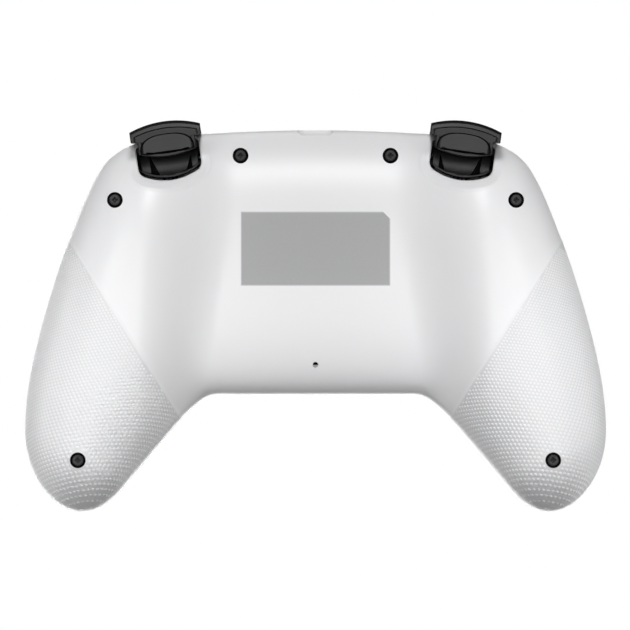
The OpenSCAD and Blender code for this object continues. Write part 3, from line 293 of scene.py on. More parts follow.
def makeGrained(name, finish, **more):
    material, s = newFinish(name)
    cloud, grain = s.noise(*finish["cloud"]), s.noise(*finish["grain"])
    rough, byCloud, byGrain = finish["rough"]
    s.surface(color=s.tint(finish["low"], finish["high"], cloud),
              rough=rough + (cloud - 0.5) * byCloud + (grain - 0.5) * byGrain,
              normal=s.bump(grain, *finish["bump"]), **more)
    return material


# bare film: fine print grain, a pale rule just inside its edge
labelFinish = {"low": (0.372, 0.374, 0.376), "high": (0.40, 0.402, 0.404), "edge": (0.50, 0.50, 0.505), "rule": 0.28}


def makeLabel(low, high):
    material, s = newFinish("label_grey")
    place = s.place()
    x, y = s.plan(place)
    half, mid = (high - low) / 2, (high + low) / 2
    side, end = half.x - s.absolute(x - mid.x), half.y - s.absolute(y - mid.y)
    inner = side.maths("MINIMUM", side, end)
    rule = inner < labelFinish["rule"] * mm
    fibre = s.noise(1500, 3, at=place)
    film = s.tint(labelFinish["low"], labelFinish["high"], fibre)
    s.surface(color=s.tint(film, labelFinish["edge"], rule), rough=0.46 + (fibre - 0.5) * 0.12,
              normal=s.bump(fibre, 0.04, 0.00003), specular=0.35)
    return material


def makePlain(name, low, high, rough, scale, metal=0.0, spread=0.16, detail=3, bump=(0.08, 0.00004), **more):
    material, s = newFinish(name)
    cloud = s.noise(scale, detail)
    s.surface(color=s.tint(low, high, cloud), rough=rough + (cloud - 0.5) * spread, metal=metal,
              normal=s.bump(cloud, *bump), **more)
    return material


white = makeWhite("housing_white")
black = makeGrained("trigger_black", blackFinish, specular=0.38)
screwMetal = makePlain("screw_black", (0.024, 0.024, 0.025), (0.04, 0.04, 0.041), 0.48, 900, metal=0.2, spread=0.2,
                       bump=(0.08, 0.00003), specular=0.3)
# near-black of the black washers, also used as painted shade in the wells, the pinhole, the trigger pockets and on
# steep trigger walls
blackAndPaintedShade = makePlain("black_and_painted_shade", (0.0012, 0.0012, 0.0012), (0.003, 0.003, 0.003), 0.7, 700, spread=0.2, detail=2,
                      bump=(0, 0), specular=0.1)
labelFilm = makeLabel(*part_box("rear_label"))
slotFinish = {"housing_white": white, "trigger_black": black, "screw_black": screwMetal, "label_grey": labelFilm,
              "button_black": makeGrained("button_black", buttonFinish, specular=0.5),
              "stick_rubber": makeGrained("stick_rubber", rubberFinish, specular=0.4, sheen=0.06)}
plainFinishes = {"frame_grey": ((0.03, 0.03, 0.032), (0.05, 0.05, 0.052), 0.55, 600),
                 "board_green": ((0.008, 0.055, 0.022), (0.02, 0.11, 0.045), 0.35, 900),
                 "battery_foil": ((0.55, 0.56, 0.58), (0.66, 0.67, 0.69), 0.34, 120, 0.8),
                 "steel": ((0.5, 0.5, 0.51), (0.62, 0.62, 0.63), 0.3, 1400, 1.0),
                 "pin_steel": ((0.03, 0.03, 0.031), (0.05, 0.05, 0.052), 0.5, 1400, 0.4),
                 "nylon_white": ((0.72, 0.72, 0.7), (0.8, 0.8, 0.78), 0.5, 500),
                 "silicone": ((0.5, 0.5, 0.5), (0.6, 0.6, 0.6), 0.6, 700)}
for name, settings in plainFinishes.items():
    slotFinish[name] = makePlain(name, *settings)
print("finishes made")

# every node gets its finish, the ones that are dressed below are hidden later
slotOf = {row["node"]: row["material_slot"] for row in frame["record"]["subparts"]}
for name, node in nodes.items():
    node.data.materials.clear()
    node.data.materials.append(slotFinish["pin_steel" if name.endswith("_trigger_pin") else slotOf[name]])

# housing: one lofted skin over five plan curves on each side, in millimetres
housing = {"width": 154.2, "widestY": 30.3, "shoulder": (57.0, 39.0), "flankIn": 7.5, "flankY": 7.7,
           "topY": 49.3, "topHalf": 28.0, "topFall": 0.9, "crotchY": 21.0, "crotchHalf": 22.0,
           "tipIn": 15.1, "tipY": 51.9, "seamZ": 22.0, "tipSink": 7.0, "sinkFrom": 5.0, "faceZ": 37.4,
           "gripFaceZ": 30.0, "backLift": 7.5, "panelTop": 40.0, "panelFoot": 58.0, "panelRun": (30.0, -20.0),
           "ridgeSpan": 94.0, "wall": 2.0, "seamGap": 0.2,
           "crest": (0.45, 0.45, 0.43, 0.48, 0.5, 0.5), "faceBulge": (3.4, 3.4, 3, 2.5, 2.3, 2.2),
           "backOuter": (2.2, 2.2, 2.25, 2.3, 2.2, 2.2), "backInner": (3, 3, 2.6, 2.3, 2.2, 2.2),
           "rows": (20, 56, 40, 42, 46), "columns": 112, "innerColumns": 28}


def unit(v):
    v = np.asarray(v, float)
    return v / np.linalg.norm(v)


def reach(a, aRun, aShare, b, bRun, bShare):
    a, b, aRun, bRun = (np.asarray(v, float) for v in (a, b, aRun, bRun))
    d = np.linalg.norm(b - a)
    return [a, a + aShare * d * aRun, b - bShare * d * bRun, b]


def planCurves():
    h = housing
    shoulder = np.array(h["shoulder"])
    flank = np.array([h["width"] / 2 - h["flankIn"], h["flankY"]])
    widest = np.array([h["width"] / 2, -h["widestY"]])
    tip = np.array([h["width"] / 2 - h["tipIn"], -h["tipY"]])
    topMid, topEnd = (0, h["topY"]), (h["topHalf"], h["topY"] - h["topFall"])
    crotchMid, crotchEnd = (0, -h["crotchY"]), np.array([h["crotchHalf"], -h["crotchY"]])
    bend, thigh, heel = (crotchEnd + np.array([u, v]) * (tip - crotchEnd)
                         for u, v in ((0.1875, 0.029), (0.405, 0.291), (0.6725, 0.7055)))
    shoulderRun, flankRun, bendRun, heelRun = (0.55, -0.835), (0.296, -0.955), (0.86, -0.51), (0.641, -0.767)
    level, down = (1, 0), (0, -1)
    outer = [reach(topMid, level, 0.332, topEnd, unit((1, -0.054)), 0.332),
             reach(topEnd, unit((1, -0.042)), 0.314, shoulder, shoulderRun, 0.347),
             reach(shoulder, shoulderRun, 0.236, flank, flankRun, 0.295),
             reach(flank, flankRun, 0.32, widest, down, 0.317),
             reach(widest, down, 0.454, tip, (-1, 0), 0.284)]
    inner = [reach(crotchMid, level, 0.318, crotchEnd, level, 0.318),
             reach(crotchEnd, level, 0.397, bend, bendRun, 0.318),
             reach(bend, bendRun, 0.269, thigh, heelRun, 0.261),
             reach(thigh, heelRun, 0.33, heel, heelRun, 0.33),
             reach(heel, heelRun, 0.252, tip, level, 0.39)]
    return np.array(outer), np.array(inner)


outerCurve, innerCurve = planCurves()


def along(curves, s, inset, sign):
    k = np.minimum(np.floor(s), 4).astype(int)
    t = (s - k)[..., None]
    a, b, c, d = (curves[k, i] for i in range(4))
    at = (1 - t) ** 3 * a + 3 * (1 - t) ** 2 * t * b + 3 * (1 - t) * t * t * c + t ** 3 * d
    run = (1 - t) ** 2 * (b - a) + 2 * (1 - t) * t * (c - b) + t * t * (d - c)
    side = np.stack([run[..., 1], -run[..., 0]], -1) / np.linalg.norm(run, axis=-1, keepdims=True)
    return at + sign * inset * side


def through(values, s):
    v = np.asarray(values, float)
    k = np.minimum(np.floor(s), 4).astype(int)
    t = s - k
    a, b, c, d = v[np.where(k == 0, 1, k - 1)], v[k], v[k + 1], v[np.minimum(k + 2, 5)]
    return 0.5 * (2 * b + (c - a) * t + (2 * a - 5 * b + 4 * c - d) * t * t + (3 * b - a - 3 * c + d) * t ** 3)


def ease(x):
    t = np.clip(x, 0, 1)
    return t * t * (3 - 2 * t)


def seamAt(y):
    h = housing
    return h["seamZ"] - h["tipSink"] * (np.maximum(0, h["sinkFrom"] - y) / (h["sinkFrom"] + h["tipY"])) ** 2


def backAt(x, y):  # the middle panel is sunk between the two grips and widens towards its foot
    h = housing
    top, foot = h["panelRun"]
    wide = h["panelTop"] + (h["panelFoot"] - h["panelTop"]) * np.clip((top - y) / (top - foot), 0, 1)
    return h["backLift"] * (1 - ease((2 * x - wide) / (h["ridgeSpan"] - wide)))


def crestAt(s, o, i):
    return o + through(housing["crest"], s)[..., None] * (i - o)


def faceTall(s, crest):
    f, g = housing["faceZ"], housing["gripFaceZ"]
    return through((f, f, f - 0.3, (f + g) / 2 + 0.8, g, g - 3), s) - seamAt(crest[..., 1])


def skin(s, angle, inset, side):  # angle 0 is the outer edge, 90 the crest, 180 the inner edge
    h = housing
    s, angle = np.broadcast_arrays(np.asarray(s, float), np.asarray(angle, float))
    o, i = along(outerCurve, s, inset, 1), along(innerCurve, s, inset, -1)
    crest = crestAt(s, o, i)
    outside = angle <= 90
    edge = np.where(outside[..., None], o, i)
    if side > 0:
        n = through(h["faceBulge"], s)
        tall = faceTall(s, crest)
    else:
        n = np.where(outside, through(h["backOuter"], s), through(h["backInner"], s))
    u = np.abs(np.cos(np.radians(angle))) ** (2 / n)
    v = np.abs(np.sin(np.radians(angle))) ** (2 / n)
    p = crest + u[..., None] * (edge - crest)
    if side < 0:
        tall = seamAt(crest[..., 1]) - backAt(p[..., 0], p[..., 1])
    close = np.where(s < 4, 1, np.cos(np.radians(90 * (s - 4))))
    z = seamAt(p[..., 1]) + side * v * (tall - inset) * close
    if side > 0:
        z = z + h["seamGap"] * (1 - v)
    return np.stack([p[..., 0], p[..., 1], z], -1)


stations = np.array([k + i / n for k, n in enumerate(housing["rows"]) for i in range(n)] + [5.0])


def skinSheet(name, columns, inset, side):
    rows = 2 * (len(stations) - 1)
    bpy.ops.mesh.primitive_grid_add(x_subdivisions=columns, y_subdivisions=rows, size=2)
    sheet = named(name)
    co = points(sheet)
    j = np.rint((co[:, 1] + 1) / 2 * rows).astype(int) - rows // 2
    angle = 180 * np.rint((co[:, 0] + 1) / 2 * columns) / columns
    shaped = skin(stations[np.abs(j)], angle, inset, side)
    shaped[:, 0] *= np.where(j < 0, -1, 1)
    placePoints(sheet, shaped * mm)
    cleaned(sheet, 1e-7, outward=False)  # the two tips close to a point
    return sheet


# trigger windows, in each trigger's own frame
window = {"span": 77.2, "y": 39.5, "yaw": 8.0, "width": 16.8, "sideY": -1.0, "sag": 2.5, "corner": 2.6, "top": 25.4,
          "collarWidth": 2.1, "collarDepth": 1.2, "ridge": 0.22, "bead": (0.14, 0.5, 0.3), "edge": 0.35,
          "hook": (0.6, 5.9, 6.5), "fineFrom": -1.0, "fineTo": 4.0, "fineBelow": 19, "most": 1.3,
          "collarFade": (4.0, 5.0), "seamEase": 4, "reach": 6, "under": -30.0}


def inWindowFrame(x, y):
    a = math.radians(window["yaw"])
    dx, dy = np.abs(x) - window["span"] / 2, y - window["y"]
    return dx * math.cos(a) - dy * math.sin(a), dx * math.sin(a) + dy * math.cos(a)


def windowArcs(grow=0):  # half width, corner radius, foot radius and its centre, and where the corner starts
    half, sag, q = window["width"] / 2, window["sag"], window["corner"] + grow
    r = (half * half + sag * sag) / (2 * sag) + grow
    turn = math.asin((half + grow - q) / (r - q))
    return half + grow, q, r, window["sideY"] - sag + r - grow, turn


def windowDistance(x, y):
    half, q, r, middle, turn = windowArcs()
    u, v = inWindowFrame(x, y)
    u = np.abs(u)
    cornerY = middle - (r - q) * math.cos(turn)
    corner = np.hypot(u - (half - q), v - cornerY) - q
    foot = np.where(np.arctan2(u, middle - v) > turn, corner, np.hypot(u, v - middle) - r)
    return np.where(v < cornerY, foot, u - half)


def windowRing(grow):  # outline of a window in its own frame, from the left corner to the right
    half, q, r, middle, turn = windowArcs(grow)
    at = [(r * math.sin(a), middle - r * math.cos(a)) for a in np.linspace(-turn, turn, 33)]
    cu, cv = (r - q) * math.sin(turn), middle - (r - q) * math.cos(turn)
    corner = [(cu + q * math.sin(a), cv - q * math.cos(a)) for a in np.linspace(turn, math.pi / 2, 12)[1:]]
    return [(-u, v) for u, v in corner[::-1]] + at + corner


def fromWindowFrame(u, v, sign):
    a = math.radians(-window["yaw"])
    return (sign * (window["span"] / 2 + u * math.cos(a) - v * math.sin(a)),
            window["y"] + u * math.sin(a) + v * math.cos(a))


def windowCutter(sign):
    half = window["width"] / 2
    tuck, foot, head = window["hook"]
    hook = [(half, foot), (half - tuck, head), (half - tuck, 30)]
    flat = [fromWindowFrame(u, v, sign) for u, v in windowRing(0) + hook + [(-u, v) for u, v in hook[::-1]]]
    bpy.ops.mesh.primitive_circle_add(vertices=len(flat), radius=1, fill_type="NGON")
    tool = named("window_tool")
    co = points(tool)
    co[np.argsort(np.arctan2(co[:, 1], co[:, 0]))] = [(x * mm, y * mm, window["under"] * mm) for x, y in flat]
    placePoints(tool, co)
    edit()
    rise = (0, 0, (window["top"] - window["under"]) * mm)
    bpy.ops.mesh.extrude_region_move(TRANSFORM_OT_translate={"value": rise})
    faceOut()
    return tool


def rodCutter(x, y, z0, z1, radius, vertices=48):
    bpy.ops.mesh.primitive_cylinder_add(vertices=vertices, radius=radius * mm, depth=(z1 - z0) * mm,
                                        location=(x * mm, y * mm, (z0 + z1) / 2 * mm))
    return settle(named("rod_tool"))


def slotCutter(width, height, y0, y1, z):
    bpy.ops.mesh.primitive_cylinder_add(vertices=48, radius=height / 2 * mm, depth=(y1 - y0) * mm,
                                        rotation=(math.pi / 2, 0, 0), location=(0, (y0 + y1) / 2 * mm, z * mm))
    tool = settle(named("slot_tool"))
    co = points(tool)
    co[:, 0] += np.sign(np.round(co[:, 0], 7)) * (width - height) / 2 * mm
    placePoints(tool, co)
    return tool


def shellOf(name, side, shape=None):
    outer = skinSheet(name, housing["columns"], 0, side)
    if shape:
        shape(outer)
    inner = skinSheet(name + "_inner", housing["innerColumns"], housing["wall"], side)
    shell = joined([outer, inner], name)
    editOpenEdges()
    bpy.ops.mesh.bridge_edge_loops()
    faceOut()
    return shell


# dotted grips: a raised panel below a straight crease
grip = {"creaseTop": (65.2, 20.1), "creaseFoot": (36.0, -26.4), "rise": 0.12, "half": 0.3,
        "axis": (0.10, 0.985, 0.20), "pitch": ((22, 0.86), (0, 0.92), (-25, 1.14), (-52, 1.40)),
        "spread": 0.43, "height": 0.15, "wellGap": 2.75, "near": 3, "rowRun": (26.0, -62.0), "rowShare": 0.866,
        "midX": 58.0, "midY": -30, "midLean": -0.06, "creaseGap": 0.45, "seamGap": 0.7, "least": 0.06,
        "angleFade": (172, 34), "seamFade": (0.15, 0.5, 6), "stations": (1.55, 4.985, 900), "angles": (1.5, 176, 360),
        "seamEase": 1.5, "sink": 0.01}
creaseRun = unit(np.subtract(grip["creaseFoot"], grip["creaseTop"]))
creaseOut = np.array([-creaseRun[1], creaseRun[0]])  # towards the grip tip side


def creaseDistance(x, y):
    return (np.abs(x) - grip["creaseTop"][0]) * creaseOut[0] + (y - grip["creaseTop"][1]) * creaseOut[1]


def backShape(sheet):
    for sign in (-1, 1):  # three fine edges along each crease
        for shift in (-grip["half"], 0, grip["half"]):
            x, y, z = faceCentres(sheet).T
            near = np.abs(creaseDistance(x, y)) < grip["near"]
            editFaces(sheet, near & (x * sign > 30))
            at = np.array(grip["creaseTop"]) + shift * creaseOut
            bpy.ops.mesh.bisect(plane_co=(sign * at[0] * mm, at[1] * mm, 0),
                                plane_no=(sign * creaseOut[0], creaseOut[1], 0))
            leave()
    for again in range(2):  # finer faces round the windows
        x, y, z = faceCentres(sheet).T
        away = windowDistance(x, y)
        ring = (away > window["fineFrom"]) & (away < window["fineTo"])
        editFaces(sheet, ring & (z < window["fineBelow"]))
        bpy.ops.mesh.subdivide(number_cuts=1, smoothness=1.0)
        leave()
    co = points(sheet) / mm
    x, y, z = co.T  # these follow when co changes
    normal = np.zeros(len(co) * 3)
    sheet.data.vertices.foreach_get("normal", normal)
    normal = normal.reshape(-1, 3)
    normal *= -np.sign(np.sum(normal[:, 2]))  # outward is down here
    raised = ease((creaseDistance(x, y) + grip["half"]) / (2 * grip["half"]))
    body = ease((seamAt(y) - z) / grip["seamEase"])
    co += normal * (grip["rise"] * raised * body)[:, None]
    away = windowDistance(x, y)
    u, v = inWindowFrame(x, y)
    inside = window["collarWidth"] - away
    fall = (inside + np.hypot(inside, window["ridge"])) / 2 / window["collarWidth"]
    most = window["most"]
    rounded = np.clip(1 - away / window["edge"], 0, most) ** 2 * window["edge"]
    beadHigh, beadWide, beadOut = window["bead"]
    bead = beadHigh * np.exp(-((away - window["collarWidth"] - beadOut) / beadWide) ** 2)
    end, run = window["collarFade"]
    collar = (window["collarDepth"] * np.minimum(fall, most) - bead) * ease((end - v) / run) + rounded
    z += collar * ease((seamAt(y) - z) / window["seamEase"]) * (away < window["reach"])
    placePoints(sheet, co * mm)


screw = {"places": ((19.9, 42.5), (53.2, 30.7), (63.0, -38.3)), "well": 2.1, "depth": 3.0, "washer": 1.95,
         "head": 1.42, "headHigh": 1.1, "washerThick": 0.6, "lip": 0.3, "cross": (1.75, 0.5), "crossDeep": 0.75,
         "crossFoot": 0.45, "sleeve": 0.08}
screwPlaces = [(sign * x, y) for sign in (-1, 1) for x, y in screw["places"]]
pinhole = {"place": (0, -13.0), "radius": 0.72, "deep": 4.0}
socket = {"mouth": (9.8, 4.2), "run": (43, 52), "z": 20.3, "notchFoot": 47.95, "notchHalf": (3.9, 8.1)}
label = {"width": 39.6, "height": 19.6, "y": 17.8, "cut": 1.9, "proud": 0.05, "thick": 0.12, "grid": (56, 28)}
underBack = -5  # cutters start well below the back


def notchCutter():  # shallow bite out of the back's top edge, under the socket
    bpy.ops.mesh.primitive_cube_add(size=2)
    tool = named("notch_tool")
    co = points(tool)
    outer = co[:, 1] > 0
    foot, top = socket["notchHalf"]
    across = np.sign(co[:, 0]) * np.where(outer, top, foot)
    along = np.where(outer, socket["notchFoot"] + top - foot, socket["notchFoot"])
    up = np.where(co[:, 2] > 0, socket["z"], underBack)
    placePoints(tool, np.stack([across, along, up], -1) * mm)
    return tool


def backHeight(x, y):  # lowest point of the finished back over a place in plan
    start = Vector((x * mm, y * mm, -0.05))
    found, at, normal, index = rearShell.ray_cast(start, Vector((0, 0, 1)))
    return at.z / mm


rearShell = shellOf("rear_shell", -1, backShape)
print("rear shell lofted:", len(rearShell.data.vertices), "points")
seatZ = {place: backHeight(*place) + screw["depth"] for place in screwPlaces}
pinholeZ = backHeight(*pinhole["place"])
labelZ = {}  # heights are taken before the back is cut
for i in np.linspace(-1, 1, label["grid"][0] + 1):
    for j in np.linspace(-1, 1, label["grid"][1] + 1):
        x, y = i * label["width"] / 2, label["y"] + j * label["height"] / 2
        labelZ[round(x, 3), round(y, 3)] = backHeight(x, y) - label["proud"]
around = [(math.cos(a), math.sin(a)) for a in np.linspace(0, 2 * math.pi, 48, endpoint=False)]
wellRim = {(x, y): [backHeight(x + screw["well"] * c, y + screw["well"] * s) for c, s in around]
           for x, y in screwPlaces}
tools = [windowCutter(1), windowCutter(-1), slotCutter(*socket["mouth"], *socket["run"], socket["z"]),
         rodCutter(*pinhole["place"], underBack, 12, pinhole["radius"], 32)]
for x, y in screwPlaces:
    tools.append(rodCutter(x, y, underBack, seatZ[x, y] + 0.2, screw["well"]))
cut(rearShell, tools)
cut(rearShell, [notchCutter()])
smoothed(rearShell)
# the back's grip zone takes painted shade on its floor between the dots
gripPaintedShadeWhite = makeWhite("housing_white_grip_painted_shade", (grip["creaseTop"], creaseOut))
finishPiece(rearShell, "housing", "housing_white", gripPaintedShadeWhite, "rear_cover")
print("rear shell cut")


# label: a thin film laid on the back, one corner cut
def makeLabelFilm():
    across, down = label["grid"]
    bpy.ops.mesh.primitive_grid_add(x_subdivisions=across, y_subdivisions=down, size=2)
    film = named("rear_label_film")
    co = points(film)
    at = np.stack([co[:, 0] * label["width"] / 2, label["y"] + co[:, 1] * label["height"] / 2], -1)
    placePoints(film, np.array([(x, y, labelZ[round(x, 3), round(y, 3)]) for x, y in at]) * mm)
    edit()
    corner = (-label["width"] / 2 * mm, (label["y"] + label["height"] / 2 - label["cut"]) * mm, 0)
    bpy.ops.mesh.bisect(plane_co=corner, plane_no=(-1, 1.15, 0), clear_outer=True)
    faceOut()
    if film.data.polygons[0].normal.z > 0:
        film.data.flip_normals()
    applied(film, "film", "SOLIDIFY", thickness=label["thick"] * mm, offset=-1)
    smoothed(film)
    finishPiece(film, "housing", "label_grey", labelFilm, "rear_label")


makeLabelFilm()
print("label laid")


# sockets, buttons and bumper openings of the face
face = {"ring": 13.45, "sticks": ((-42.0, 18.0), (21.0, 1.0)), "buttonMid": (43.0, 19.0), "spread": 9.4, "button": 10.0,
        "home": (0, 28.0, 10.0), "menu": (13.0, 20.0, 5.4), "option": (6.0, 12.0, 4.6), "gap": 0.4,
        "pad": (-21.0, 1.0), "padSpan": 21.0, "padArm": 7.0, "padRim": 1.1, "from": 27.0, "to": 60}


def boxCutter(x, y, wide, deep, z0, z1):
    bpy.ops.mesh.primitive_cube_add(size=1, location=(x * mm, y * mm, (z0 + z1) / 2 * mm),
                                    scale=(wide * mm, deep * mm, (z1 - z0) * mm))
    return settle(named("box_tool"))


frontShell = shellOf("front_shell", 1)
print("front shell lofted:", len(frontShell.data.vertices), "points")


def bumperCutter(sign):  # a bent block that follows the face's side wall
    bpy.ops.mesh.primitive_cube_add(size=2)
    tool = named("bumper_tool")
    edit()
    bpy.ops.mesh.subdivide(number_cuts=31)
    leave()
    runs = bumper["stations"], bumper["depths"], bumper["heights"]
    s, depth, z = (a + (b - a) * (share + 1) / 2 for share, (a, b) in zip(points(tool).T, runs))
    p = wallPlace(s, z, depth)
    placePoints(tool, np.stack([sign * p[:, 0], p[:, 1], z], -1) * mm)
    cleaned(tool, 1e-8)
    return tool


def wallPlace(s, z, depth):
    o, i = along(outerCurve, s, 0, 1), along(innerCurve, s, 0, -1)
    crest = crestAt(s, o, i)
    n = through(housing["faceBulge"], s)
    v = np.clip((z - seamAt(o[..., 1])) / faceTall(s, crest), 0, 1)
    p = crest + ((1 - v ** n) ** (1 / n))[..., None] * (o - crest)
    ahead = along(outerCurve, s, 1, 1) - o
    return p + depth[..., None] * ahead


def stationAtX(x):
    fine = np.linspace(0, 2, 4001)
    return float(np.interp(x, along(outerCurve, fine, 0, 1)[:, 0], fine))


bumper = {"stations": (stationAtX(26.6), 1.95), "depths": (-2.0, 5.4), "heights": (25.0, 32.8)}


def crossCutter(x, y, span, arm, z0, z1):
    a = boxCutter(x, y, span, arm, z0, z1)
    b = boxCutter(x, y, arm, span, z0, z1)
    combine(a, b, "UNION")
    return a


def faceHole(x, y, width, vertices):
    return rodCutter(x, y, face["from"], face["to"], width / 2 + face["gap"], vertices)


tools = [rodCutter(x, y, face["from"], face["to"], face["ring"], 96) for x, y in face["sticks"]]
bx, by = face["buttonMid"]
for dx, dy in ((0, 1), (0, -1), (-1, 0), (1, 0)):
    tools.append(faceHole(bx + dx * face["spread"], by + dy * face["spread"], face["button"], 64))
tools.append(faceHole(*face["home"], 64))
for x, y, d in (face["menu"], face["option"]):
    tools += [faceHole(sign * x, y, d, 48) for sign in (-1, 1)]
span, arm = (size + 2 * face["padRim"] for size in (face["padSpan"], face["padArm"]))
tools.append(crossCutter(*face["pad"], span, arm, face["from"], face["to"]))
tools += [windowCutter(1), windowCutter(-1), slotCutter(*socket["mouth"], *socket["run"], socket["z"])]
cut(frontShell, tools)
cut(frontShell, [bumperCutter(1), bumperCutter(-1)])
smoothed(frontShell)
finishPiece(frontShell, "housing", "housing_white", white, "front_cover")
print("front shell cut")


# grip dots: one low dome, laid in staggered rows round the grip
def dotModel():
    bpy.ops.mesh.primitive_circle_add(vertices=6, radius=1.0)
    dot = named("dot_model")
    edit()
    bpy.ops.mesh.extrude_edges_move(TRANSFORM_OT_translate={"value": (0, 0, 0.72)})
    bpy.ops.transform.resize(value=(0.62, 0.62, 1))
    bpy.ops.mesh.extrude_edges_move(TRANSFORM_OT_translate={"value": (0, 0, 0.28)})
    bpy.ops.mesh.merge(type="CENTER")
    faceOut()
    return dot


def dotPlaces():
    s, angle = np.linspace(*grip["stations"]), np.linspace(*grip["angles"])
    grid = skin(s[:, None], angle[None, :], 0, -1)
    normal = np.cross(*np.gradient(grid, axis=(0, 1)))
    normal /= np.linalg.norm(normal, axis=-1, keepdims=True) + 1e-12
    normal *= -np.sign(np.median(normal[..., 2]))
    axis = unit(grip["axis"])
    level = grid @ axis
    ys, ps = zip(*sorted(grip["pitch"]))
    found = []
    d, end = grip["rowRun"]
    row = 0
    while d > end:
        pitch = float(np.interp(d, ys, ps))
        line = []  # place, normal and angle
        for j in range(len(angle)):
            f = level[:, j] - d
            hit = np.nonzero((f[:-1] > 0) & (f[1:] <= 0))[0]
            if len(hit):
                i = hit[-1]
                t = f[i] / (f[i] - f[i + 1])
                line.append([*(v[i, j] * (1 - t) + v[i + 1, j] * t for v in (grid, normal)), [angle[j]]])
        if len(line) > 3:
            line = np.array([np.concatenate(at) for at in line])
            run = np.concatenate([[0], np.cumsum(np.linalg.norm(np.diff(line[:, :3], axis=0), axis=1))])
            middle = np.interp(grip["midX"] + (d - grip["midY"]) * grip["midLean"], line[::-1, 0], run[::-1])
            first = (middle + (row % 2) * pitch / 2) % pitch
            for at in np.arange(first, run[-1], pitch):
                p = [np.interp(at, run, column) for column in line.T]
                found.append((*p[:3], *unit(p[3:6]), pitch, p[6]))
        row += 1
        d -= pitch * grip["rowShare"]
    return np.array(found)


def makeDots():
    dot = dotModel()
    shape = points(dot)
    corners = [tuple(p.vertices) for p in dot.data.polygons]
    bpy.data.objects.remove(dot, do_unlink=True)
    spots = dotPlaces()
    p, n, pitch, angle = spots[:, :3], spots[:, 3:6], spots[:, 6], spots[:, 7]
    x, y, z = p.T
    keep = creaseDistance(x, y) > grip["half"] + grip["creaseGap"] * pitch
    fromSeam = seamAt(y) - z
    keep &= fromSeam > grip["seamGap"]
    wx, wy = screw["places"][2]
    keep &= np.hypot(x - wx, y - wy) > grip["wellGap"]
    lastAngle, angleRun = grip["angleFade"]
    least, start, seamRun = grip["seamFade"]
    fade = ease((lastAngle - angle) / angleRun) * (least + (1 - least) * ease((fromSeam - start) / seamRun))
    keep &= fade > grip["least"]
    p, n, pitch, fade = p[keep], n[keep], pitch[keep], fade[keep]
    u = np.cross(n, unit(grip["axis"]))
    u /= np.linalg.norm(u, axis=1, keepdims=True)
    v = np.cross(n, u)
    wide = (grip["spread"] * pitch)[:, None, None]
    tall = (grip["height"] * pitch / 1.1 * fade)[:, None, None]
    base = p + n * (grip["rise"] - grip["sink"])
    co = base[:, None] + wide * (shape[None, :, :1] * u[:, None] + shape[None, :, 1:2] * v[:, None]) \
        + tall * shape[None, :, 2:] * n[:, None]
    for sign, name in ((1, "right_grip_dots"), (-1, "left_grip_dots")):
        placed = co.reshape(-1, 3) * np.array([sign, 1, 1]) * mm
        faces = [tuple(int(i * len(shape) + c) for c in corner) for i in range(len(p)) for corner in corners]
        mesh = bpy.data.meshes.new(name)
        mesh.from_pydata(placed.tolist(), [], faces)
        piece = bpy.data.objects.new(name, mesh)
        bpy.context.scene.collection.objects.link(piece)
        cleaned(piece, 1e-9)
        pick(piece)
        bpy.ops.object.shade_smooth()
        finishPiece(piece, "housing", "housing_white", white)
    print("grip dots:", len(p), "a side")


makeDots()


